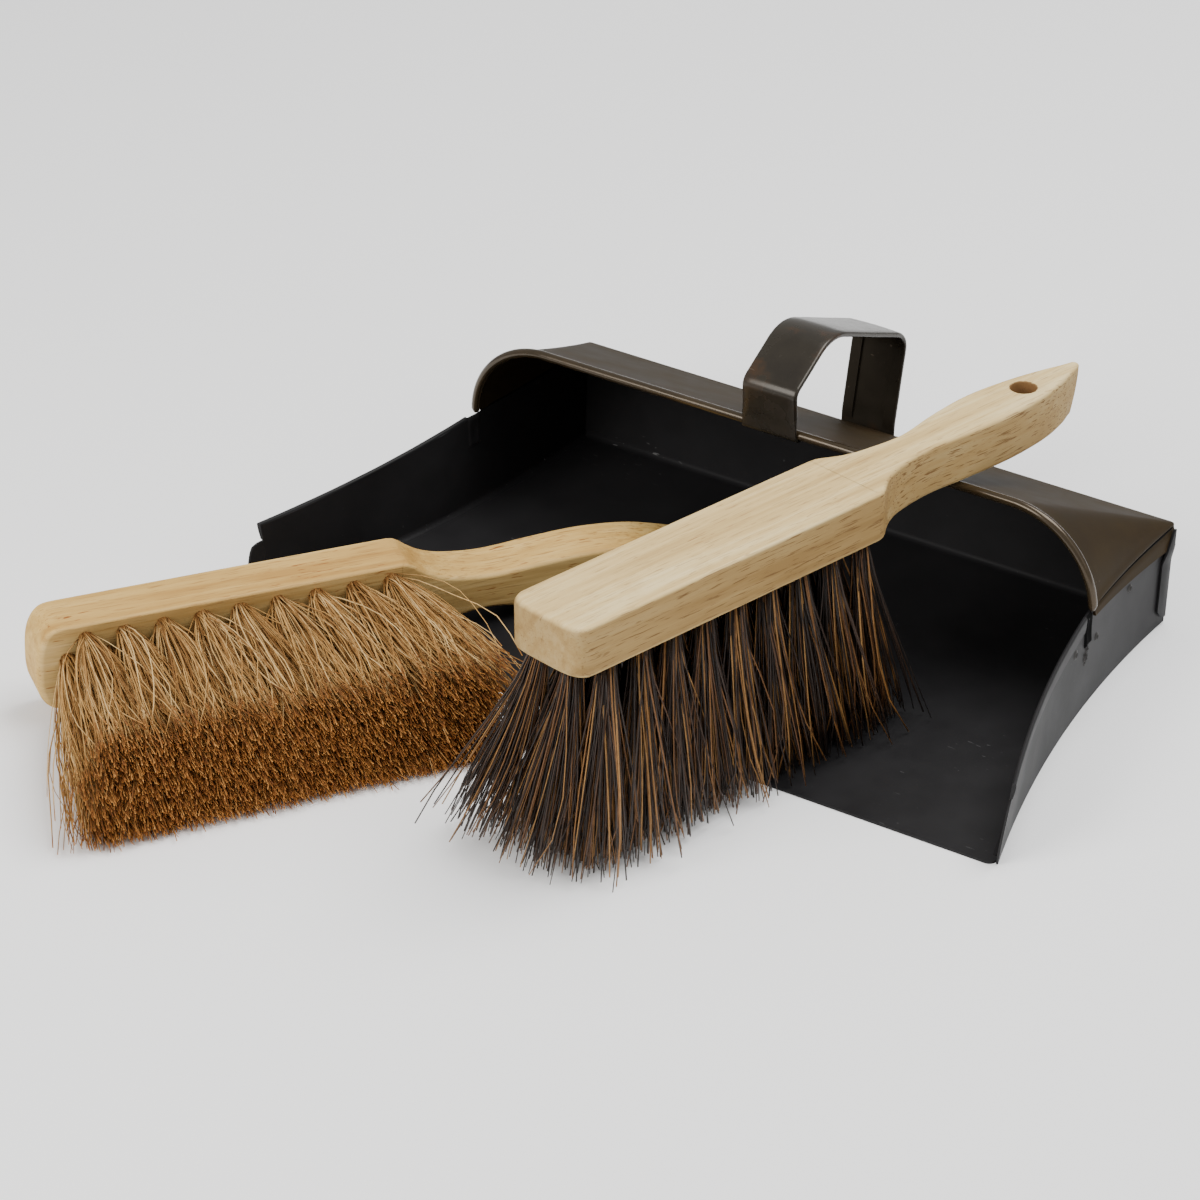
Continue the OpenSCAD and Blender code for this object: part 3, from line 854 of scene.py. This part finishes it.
def weldPart():
    shape = weldShape
    turns = [2 * math.pi * k / shape["sides"] for k in range(shape["sides"])]
    parts = []
    for number, (back, height, radius) in enumerate(shape["marks"]):
        sections = []
        for step, rise in enumerate(shape["rise"]):
            r = radius * max(0.06, step / (len(shape["rise"]) - 1))
            section = []
            for a in turns:
                y, z = hoodY + back + r * math.cos(a), height + r * math.sin(a)
                rough = shape["rough"] * noise.noise(Vector((y * 1.6, z * 1.6, number)))
                section.append((wallX(y, z) + sheet + rise + rough, y, z))
            sections.append(section)
        sections.append([(wallX(y, z) + sheet - 0.3, y, z) for _, y, z in sections[-1]])
        parts.append(swept(sections))
    return joined(parts)


crimpShape = {
    "wide": 6.2, "tall": 13.0, "splashTall": 8.5, "splashWide": 5.2, "splashLean": 1.8,
    "steps": (12, 28),
}


def crimpPart():
    # the bead's wire ends in a flattened tab on both faces of the side, with a rough weld under it
    shape = crimpShape
    sideTop = wallTop(hoodY)

    def tab(outward, base, near):
        def point(share, high):
            y = hoodY - shape["wide"] * (1 - share) - 0.2
            z = sideTop - shape["tall"] * (1 - high) - 0.4
            rim = 1 - bump(share, 0.5, 0.34) * bump(high, 0.5, 0.42)
            edge = min(1.0, 8 * min(share, 1 - share), 12 * min(high, 1 - high))
            rise = near + base * (0.15 + 0.85 * rim) * edge
            return (wallX(y, z) + outward * rise, y, z)
        return gridOf(*shape["steps"], point)

    def splash(base):
        def point(share, high):
            y = hoodY - 8.0 + shape["splashWide"] * share + shape["splashLean"] * high
            z = sideTop - shape["tall"] - shape["splashTall"] * (1 - high)
            dome = max(0.0, 1 - (2 * share - 1) ** 2) * max(0.0, 1 - (2 * high - 1) ** 2)
            coarse = noise.noise(Vector((y * 1.1, z * 1.1, 5.0)))
            fine = noise.noise(Vector((y * 2.6, z * 2.6, 9.0)))
            lump = math.sqrt(dome) * max(0.0, 0.35 + 0.9 * coarse + 0.4 * fine)
            return (wallX(y, z) + sheet - 0.1 + base * lump, y, z)
        return gridOf(*shape["steps"], point)

    outside = plate(tab(1, 0, sheet - 0.1), tab(1, 1.3, sheet))
    inside = plate(tab(-1, 0.6, 0.05), tab(-1, 0, -0.1))
    return outside, inside, plate(splash(0), splash(1.3))


for side, sideName in ((1, "Right"), (-1, "Left")):
    mate = sideName.lower()
    crimp, innerTab, splashMark = crimpPart()
    # name, part, finish, slot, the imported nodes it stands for, width of its softened edges
    for name, part, finish, slot, replaced, edge in (
        ("panSide", wallPart(side), panSteel, "pan_steel", ("side_wall_",), 0.2),
        ("sideRoll", rollPart(), panSteel, "pan_steel", ("wall_hem_",), 0),
        ("cornerFold", tabPart(), panSteel, "pan_steel", ("corner_tab_",), 0.2),
        ("floorFold", sideFoldPart(), foldSteel, "pan_steel", (), 0),
        ("weldSpots", weldPart(), weldSteel, "bare_weld", ("weld_marks_",), 0),
        # the crimp's outer tab wears the near-black finish: painted shade in its slot
        ("beadCrimp", crimp, paintedShadeSteel, "pan_steel", (), 0),
        ("beadTab", innerTab, panSteel, "pan_steel", ("bead_tab_",), 0),
        # the groove strip: painted shade in the near-black finish
        ("hoodCreaseShade", creaseShadePart(), paintedShadeSteel, "hood_steel", (), 0),
        ("weldSplash", splashMark, weldSteel, "bare_weld", (), 0),
    ):
        addSteel(name + sideName, part, finish, [node + mate for node in replaced], side, edge)
addSteel("floorFoldBack", backFoldPart(), foldSteel, (), 1, 0)
addSteel("hoodSkin", hoodPart(), hoodSteel, ("hood_shell",))
addSteel("hoodRearFold", rearFoldPart(), hoodSteel, ("hood_rear_flange",))
addSteel("hoodBeadRoll", beadPart(), beadSteel, ("hood_bead",), 1, 0)


# the strap handle: one band bent over the hood, its edges folded inwards
strapShape = {
    "width": 24.0, "thick": 1.0, "hem": 5.0, "legTop": 92.7, "gripTop": (47.0, 107.0),
    "gripRear": (100.5, 82.2), "footHeight": 41.5, "footDrop": 12.0,
    "bends": (5.0, 20.0, 9.0, 10.0), "bendSteps": 12, "pointGap": 2.0,
    "crown": 0.35, "acrossSteps": 8, "wave": 0.10,
    "foldFrom": 4.5, "foldStop": 0.5, "foldRun": 3.0,  # the folded edges lie flat at both fixed ends
    "footShift": -2.4, "shiftFrom": 52.0, "shiftRun": 40.0,
}


def strapRoute(shape):
    frontY = hoodY - hoodShape["bead"] - shape["thick"] / 2
    wallSheets = 2 * sheet / math.cos(math.radians(panShape["backLean"]))

    def onWall(z):
        return Vector((backFace(z) + wallSheets + 2 * gap + shape["thick"] / 2, z))

    foot = shape["footHeight"]
    corners = [
        Vector((frontY, beadTop)), Vector((frontY, shape["legTop"])), Vector(shape["gripTop"]),
        Vector(shape["gripRear"]), onWall(foot), onWall(foot - shape["footDrop"]),
    ]
    line = [corners[0]]
    for radius, last, corner, following in zip(shape["bends"], corners, corners[1:], corners[2:]):
        before, after = (last - corner).normalized(), (following - corner).normalized()
        half = before.angle(after) / 2
        middle = corner + (before + after).normalized() * radius / math.sin(half)
        start = corner + before * radius / math.tan(half) - middle
        stop = corner + after * radius / math.tan(half) - middle
        turn = math.atan2(start.x * stop.y - start.y * stop.x, start.dot(stop))
        for k in range(shape["bendSteps"] + 1):
            a = turn * k / shape["bendSteps"]
            cosA, sinA = math.cos(a), math.sin(a)
            spun = Vector((start.x * cosA - start.y * sinA, start.x * sinA + start.y * cosA))
            line.append(middle + spun)
    line.append(corners[-1])
    # straights get points of their own, so that the folded edges can fade out
    dense = [line[0]]
    for a, b in zip(line, line[1:]):
        cuts = max(1, int((b - a).length / shape["pointGap"]))
        dense += [a.lerp(b, k / cuts) for k in range(1, cuts + 1)]
    return dense


def strapPart():
    shape = strapShape
    line = strapRoute(shape)
    half, thick, steps = shape["width"] / 2, shape["thick"], shape["acrossSteps"]
    hemU = half - shape["hem"]
    total = sum((b - a).length for a, b in zip(line, line[1:]))
    run, sections = 0.0, []
    for i, place in enumerate(line):
        if i:
            run += (place - line[i - 1]).length
        ahead = (line[min(i + 1, len(line) - 1)] - line[max(i - 1, 0)]).normalized()
        out = Vector((-ahead.y, ahead.x))
        toFoot = total - shape["footDrop"] - shape["foldStop"] - run
        fold = min(1.0, max(0.0, min(run - shape["foldFrom"], toFoot) / shape["foldRun"]))
        passed = (run - total + shape["shiftFrom"]) / shape["shiftRun"]
        shift = shape["footShift"] * min(1.0, max(0.0, passed))
        inner = thick / 2 + thick * fold
        radius = (thick / 2 + inner) / 2
        edgeU = half - radius

        def crowned(u, depth):
            return (u, depth + shape["crown"] * fold * (1 - (u / half) ** 2))

        def edge(side, start):
            turns = [start + math.pi * k / steps for k in range(1, steps)]
            return [
                (side * edgeU + radius * math.cos(a), thick / 2 - radius + radius * math.sin(a))
                for a in turns
            ]

        section = [crowned(mix(edgeU, -edgeU, k / steps), thick / 2) for k in range(steps + 1)]
        section += edge(-1, math.pi / 2)
        section += [(-edgeU, -inner), (-hemU, -inner), (-hemU, -thick / 2)]
        section += [crowned(mix(-hemU, hemU, k / steps), -thick / 2) for k in range(1, steps)]
        section += [(hemU, -thick / 2), (hemU, -inner), (edgeU, -inner)]
        section += edge(1, -math.pi / 2)
        wave = shape["wave"] * noise.noise(Vector((run * 0.07, 2.0, 0.0)))
        sections.append([
            (u + shift, place.x + out.x * (d + wave), place.y + out.y * (d + wave)) for u, d in section
        ])
    return swept(sections)


addSteel("strapBand", strapPart(), handleSteel,
         ("handle_strap", "handle_hem_right", "handle_hem_left"), 1, 0)
for nodeName, finish in (
    ("floor_panel", panSteel), ("back_panel", panSteel),
    ("handle_clip", handleSteel), ("handle_rivets", handleSteel),
):
    nodes[nodeName].data.materials.clear()
    nodes[nodeName].data.materials.append(finish)
    rounded(nodes[nodeName])
print("pan dressed")


# wooden stocks: a block that narrows into a swelling handle with a hanging hole
stockShape = {
    # distance along, half width, sideways offset, in millimetres
    "stations": [
        (8, 18, 0), (70, 18, 0), (134, 17.9, 0), (143, 17.7, 0), (146.5, 16.6, 0.2),
        (150.5, 14.2, 0.7), (156, 11.6, 1.2), (165, 9.3, 1.7), (181, 7.8, 2), (202, 10.2, 3.3),
        (222, 11.4, 4), (242, 9.6, 4.1), (257, 6.2, 4.5), (265, 3.7, 4.8), (269, 2.2, 4.9),
    ],
    "steps": 6, "tipSteps": 8, "endSteps": 40, "layers": 6, "sideLayers": 5,
    "thick": 19.5, "edge": 1.1, "handleEdge": 1.9, "neck": (146.0, 12.0),
    "endReach": 13.0, "endHalf": 18.0, "endRound": 1.6,
    "tip": 271.0, "rakeFrom": 246.0,
    "hole": (241, 4.3, 4.9), "holeSides": 40, "countersink": 1.3,
    "bassine": {
        "rest": (34.9, -167.9, 103.9), "turn": (-0.8, 2.2, 77.8),
        "stretch": 1.0, "endSquare": 4.6, "tipRake": 4.6,
    },
    "coco": {
        "rest": (-189.1, -184.6, 25.2), "turn": (-85.3, 1.9, 56.3),
        "stretch": 0.96, "endSquare": 3.0, "tipRake": 2.0,
    },
}
bassinePlace = localFrame(stockShape["bassine"]["rest"], stockShape["bassine"]["turn"])
cocoPlace = localFrame(stockShape["coco"]["rest"], stockShape["coco"]["turn"])


def smoothStations(stations, steps):
    points = np.array(stations, float)
    last = len(points) - 1
    out = []
    for i in range(last):
        a, b, c, d = (points[min(max(j, 0), last)] for j in (i - 1, i, i + 1, i + 2))
        for k in range(steps):
            t = k / steps
            out.append(
                0.5 * (2 * b + (c - a) * t + (2 * a - 5 * b + 4 * c - d) * t * t
                       + (3 * b - a - 3 * c + d) * t ** 3)
            )
    out.append(points[last])
    return np.array(out)


def stockOutline(shape, own):
    # runs down the right side to the tip, back up the left side and across the bowed end
    along, half, offset = smoothStations(shape["stations"], shape["steps"]).T
    right = np.stack([along, offset - half], 1)
    left = np.stack([along, offset + half], 1)[::-1]
    lastX, lastHalf, lastOffset = shape["stations"][-1]
    tip = []
    for k in range(1, shape["tipSteps"]):
        a = math.pi * (k / shape["tipSteps"] - 0.5)
        tip.append((lastX + (shape["tip"] - lastX) * math.cos(a), lastOffset + lastHalf * math.sin(a)))
    end = []
    power = 2 / own["endSquare"]
    for k in range(1, shape["endSteps"]):
        a = math.pi * (0.5 - k / shape["endSteps"])
        x = shape["stations"][0][0] - shape["endReach"] * math.cos(a) ** power
        end.append((x, math.copysign(shape["endHalf"] * abs(math.sin(a)) ** power, a)))
    outline = np.concatenate([right, np.array(tip), left, np.array(end)])
    outline[:, 0] *= own["stretch"]
    return outline


def stockLayers(shape, own):
    outline = stockOutline(shape, own)
    way = np.roll(outline, -1, 0) - np.roll(outline, 1, 0)
    way /= np.linalg.norm(way, axis=1, keepdims=True) + 1e-9
    inward = np.stack([-way[:, 1], way[:, 0]], 1)
    place = outline[:, 0] / own["stretch"]
    # edges are sanded rounder on the handle and the end, and sharper towards the tip
    neckX, neckRun = shape["neck"]
    fade = np.clip((place - neckX) / neckRun, 0, 1)
    radius = shape["edge"] + (shape["handleEdge"] - shape["edge"]) * fade
    radius = np.minimum(radius, 0.8 + 0.18 * np.clip(shape["tip"] - place, 0, 9))
    radius = radius + shape["endRound"] * np.clip((1.5 - place) / 5, 0, 1)
    half = shape["thick"] / 2
    steps = [math.pi / 2 * k / shape["layers"] for k in range(shape["layers"] + 1)]
    rims = [(radius * (1 - math.sin(a)), half - radius * (1 - math.cos(a))) for a in steps]
    cuts = [k / shape["sideLayers"] for k in range(1, shape["sideLayers"])]
    sides = [(radius * 0, (half - radius) * (1 - 2 * cut)) for cut in cuts]
    levels = rims + sides + [(inset, -height) for inset, height in reversed(rims)]
    raked = np.clip((place - shape["rakeFrom"]) / (shape["tip"] - shape["rakeFrom"]), 0, 1)
    layers = []
    for inset, height in levels:
        flat = outline + inward * inset[:, None]
        depth = (half - height) / shape["thick"]
        # the tip is sanded back underneath, like a bow
        flat[:, 0] -= own["tipRake"] * raked ** 2 * depth ** 1.7
        layers.append(np.column_stack([flat, -half + height]))
    return layers


def holeCutter(shape, stretch, place):
    x, y, radius = shape["hole"]
    wide = radius + shape["countersink"]
    top, bottom = 1.0, -shape["thick"] - 1.0
    turns = [2 * math.pi * k / shape["holeSides"] for k in range(shape["holeSides"])]
    levels = ((top, wide), (top - 1.5, radius), (bottom + 1.5, radius), (bottom, wide))
    verts = [
        place @ (Vector((x * stretch + r * math.cos(a), y + r * math.sin(a), z)) * mm)
        for z, r in levels for a in turns
    ]
    mesh = bpy.data.meshes.new("holeCut")
    mesh.from_pydata(verts, [], ringFaces(len(turns), len(levels), flip=True))
    cutter = bpy.data.objects.new("holeCut", mesh)
    bpy.context.scene.collection.objects.link(cutter)
    return cutter


def addStock(kind, place, finish):
    shape = stockShape
    layers = stockLayers(shape, shape[kind])
    verts = [Vector(p) * mm for layer in layers for p in layer]
    faces = ringFaces(len(layers[0]), len(layers), flip=True)
    piece = addPiece(kind + "Stock", verts, faces, finish, kind + "_brush", place)
    cutter = holeCutter(shape, shape[kind]["stretch"], place)
    cut = piece.modifiers.new("hole", "BOOLEAN")
    cut.operation = "DIFFERENCE"
    cut.solver = "EXACT"
    cut.object = cutter
    bpy.context.view_layer.update()
    graph = bpy.context.evaluated_depsgraph_get()
    shaped = bpy.data.meshes.new_from_object(piece.evaluated_get(graph))
    piece.modifiers.clear()
    piece.data = shaped
    bpy.data.objects.remove(cutter)
    shaped.shade_smooth()
    shaped.set_sharp_from_angle(angle=math.radians(42))
    setOwnPlace(shaped, place)
    evened = piece.modifiers.new("evenedFaces", "WEIGHTED_NORMAL")
    evened.keep_sharp = True
    evened.weight = 100
    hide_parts(kind + "_stock")


addStock("bassine", bassinePlace, paleWood)
addStock("coco", cocoPlace, fleckedWood)
print("stocks shaped")


# bristles are single strands, rooted in the tufts' holes
def addStrands(name, node, paths, radii, tones, finish, body, place, sides=3):
    # paths: strands x rings x 3, in millimetres along the stock's own axes
    count, rings, _ = paths.shape
    along = np.gradient(paths, axis=1)
    along /= np.linalg.norm(along, axis=2, keepdims=True) + 1e-9
    first = np.cross(along, np.array((0.62, 0.78, 0.0)))
    first /= np.linalg.norm(first, axis=2, keepdims=True) + 1e-9
    second = np.cross(along, first)
    angles = (2 * np.pi * np.arange(sides) / sides)[None, None, :, None]
    out = np.cos(angles) * first[:, :, None, :] + np.sin(angles) * second[:, :, None, :]
    verts = ((paths[:, :, None, :] + radii[:, :, None, None] * out).reshape(-1, 3) * mm).tolist()
    base = (np.arange(count) * rings * sides)[:, None, None]
    level = (np.arange(rings - 1) * sides)[None, :, None]
    k = np.arange(sides)
    q = (k + 1) % sides
    low, high = base + level, base + level + sides
    faces = np.stack([low + k, low + q, high + q, high + k], -1).reshape(-1, 4).tolist()
    faces += (base[:, 0] + k[::-1]).tolist() + (base[:, 0] + (rings - 1) * sides + k).tolist()
    piece = addPiece(name, verts, faces, finish, body, place)
    run = np.tile(np.repeat(np.linspace(0, 1, rings), sides), count)
    for layerName, values in (("strandTone", np.repeat(tones, rings * sides)), ("strandRun", run)):
        layer = piece.data.attributes.new(layerName, "FLOAT", "POINT")
        layer.data.foreach_set("value", values.astype(np.float32))
    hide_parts(node)


def heightAbove(place, points):
    turn = np.array(place)[:3, :3]
    return points @ turn[2] + place.translation.z / mm


bristleLayout = {
    "rows": 4, "tufts": 9, "pitch": 15.4, "rowStart": 14.3, "stagger": 7.5, "rowSpacing": 8.0,
    "rootDepth": -19.0,
}
bassineBristles = {
    "perTuft": 92, "rings": 6, "radius": (0.27, 0.50), "length": (79.5, 3.2), "thinning": 0.32,
    "rootSpread": 3.2, "scatter": 4.9, "fan": (9.0, 6.5), "cornerFan": (4.0, 7.0),
    "bow": 2.0, "strays": 0.13, "strayBow": 7.0,
    "amber": 0.32, "clearance": 1.5, "seed": 11,
}
cocoBristles = {
    "perTuft": 300, "rings": 8, "radius": (0.17, 0.34), "thinning": 0.25,
    "rootSpread": 2.9, "scatter": 5.0, "fan": (10.5, 7.0), "trimmedAt": -98.0, "rag": 2.2,
    "bow": 2.3, "strays": 0.12, "strayBow": 6.0, "mostBow": 9.0, "wave": 1.1,
    "pale": 0.14, "clearance": 1.5, "seed": 23,
}


def tuftRoots(row, stretch):
    first = bristleLayout["rowStart"] - (bristleLayout["stagger"] if row % 2 else 0)
    xs = (first + bristleLayout["pitch"] * np.arange(bristleLayout["tufts"])) * stretch
    return [(x, (row - 1.5) * bristleLayout["rowSpacing"]) for x in xs]


def strandRoots(look, rng, x, y, n):
    spin = rng.uniform(0, 2 * np.pi, n)
    reach = np.sqrt(rng.uniform(0, 1, n))
    offX, offY = reach * np.cos(spin), reach * np.sin(spin)
    wide = look["rootSpread"]
    depth = np.full(n, bristleLayout["rootDepth"])
    return offX, offY, np.stack([x + offX * wide, y + offY * wide, depth], 1)


def strandBows(look, rng, n):
    bows = rng.normal(0, look["bow"], (n, 2))
    strays = rng.uniform(0, 1, n) < look["strays"]
    bows[strays] = rng.normal(0, look["strayBow"], (int(strays.sum()), 2))
    return bows


def strandRadii(look, rng, ring, n):
    thick = rng.uniform(*look["radius"], n)
    return thick[:, None] * (1.0 - look["thinning"] * ring[None, :])


def bassineTuft(look, rng, ring, row, index, x, y):
    n = int(look["perTuft"] * (1.45 if index < 2 else 1.0))
    offX, offY, root = strandRoots(look, rng, x, y, n)
    # the end tufts splay far out to the front and to the left
    corner = np.exp(-index / 1.1)
    left = (row + 0.5) / bristleLayout["rows"]
    midX = (x - 72) * 1.13 + 78 - 9 * corner * (0.3 + left)
    midY = y * 1.25 + 2.0 + 24 * corner * left ** 1.5
    fanX = look["fan"][0] + look["cornerFan"][0] * corner
    fanY = look["fan"][1] + look["cornerFan"][1] * corner * left
    tipX = midX + offX * fanX + rng.normal(0, look["scatter"], n)
    tipY = midY + offY * fanY + rng.normal(0, look["scatter"], n)
    tip = np.stack([tipX, tipY, np.full(n, -99.0)], 1)
    way = tip - root
    way /= np.linalg.norm(way, axis=1, keepdims=True)
    length = rng.normal(*look["length"], n) + 2.0
    tip = root + way * length[:, None]
    # strands that would reach the ground are worn down to it
    low, rootHigh = heightAbove(bassinePlace, tip), heightAbove(bassinePlace, root)
    ragged = look["clearance"] + np.abs(rng.normal(0, 1.3, n))
    share = np.clip((rootHigh - ragged) / (rootHigh - low), 0, 1)
    tip = root + (tip - root) * share[:, None]
    bows = strandBows(look, rng, n)
    t = ring[None, :, None]
    path = root[:, None, :] + (tip - root)[:, None, :] * t
    # leave the hole upright, then splay
    path[..., :2] += (tip - root)[:, None, :2] * ((t ** 1.18) - t)
    path[..., :2] += bows[:, None, :] * 4 * t * (1 - t) * t
    radii = strandRadii(look, rng, ring, n)
    amber = rng.uniform(0, 1, n) < look["amber"]
    tones = np.where(amber, rng.uniform(0.6, 1.0, n), 0.55 * rng.beta(1.3, 2.0, n))
    return path, radii, tones


def cocoTuft(look, rng, ring, row, index, x, y):
    n = int(look["perTuft"] * (1.5 if index > 7 else 1.0))
    offX, offY, root = strandRoots(look, rng, x, y, n)
    midX, midY = (x - 69) * 1.10 + 66, y * 1.12 - 1.5
    # the last tufts spread past the block's neck
    fanX = look["fan"][0] + (3.5 if index > 6 else 0.0)
    tipX = midX + offX * fanX + rng.normal(0, look["scatter"], n) + (2.5 if index > 7 else 0.0)
    tipY = midY + offY * look["fan"][1] + rng.normal(0, look["scatter"], n)
    trimmed = look["trimmedAt"] - 0.22 * (tipY + 22) + rng.normal(0, look["rag"], n)
    tip = np.stack([tipX, tipY, trimmed], 1)
    # a sideways push keeps the lowest strands off the ground
    low = heightAbove(cocoPlace, tip)
    tip[:, 1] -= np.clip(look["clearance"] + np.abs(rng.normal(0, 2.2, n)) - low, 0, None)
    bows = np.clip(strandBows(look, rng, n), -look["mostBow"], look["mostBow"])
    wave = rng.normal(0, look["wave"], (n, 2))
    phase = rng.uniform(0, 2 * np.pi, (n, 1))
    t = ring[None, :, None]
    path = root[:, None, :] + (tip - root)[:, None, :] * t
    path[..., :2] += (tip - root)[:, None, :2] * ((t ** 0.98) - t)
    path[..., :2] += bows[:, None, :] * 4 * t * (1 - t)
    path[..., :2] += wave[:, None, :] * np.sin(9.0 * t + phase[:, None, :]) * t
    lift = heightAbove(cocoPlace, path.reshape(-1, 3)).reshape(path.shape[:2])
    path[..., 1] -= np.clip(look["clearance"] - lift, 0, None)
    radii = strandRadii(look, rng, ring, n)
    pale = rng.uniform(0, 1, n) < look["pale"]
    tones = np.where(pale, rng.uniform(0.8, 1.0, n), np.clip(rng.normal(0.45, 0.26, n), 0, 1))
    return path, radii, tones


brushes = (
    ("bassine", bassineBristles, bassineTuft, bassineFibre, bassinePlace),
    ("coco", cocoBristles, cocoTuft, cocoFibre, cocoPlace),
)
for row in range(bristleLayout["rows"]):
    for kind, look, tuft, finish, place in brushes:
        rng = np.random.default_rng(look["seed"] + row)
        ring = np.linspace(0, 1, look["rings"])
        roots = tuftRoots(row, stockShape[kind]["stretch"])
        tufts = [tuft(look, rng, ring, row, index, x, y) for index, (x, y) in enumerate(roots)]
        paths, radii, tones = (np.concatenate(parts) for parts in zip(*tufts))
        addStrands(f"{kind}Tufts{row + 1}", f"{kind}_row_{row + 1}", paths, radii, tones, finish,
                   f"{kind}_brush", place)
print("bristles set")
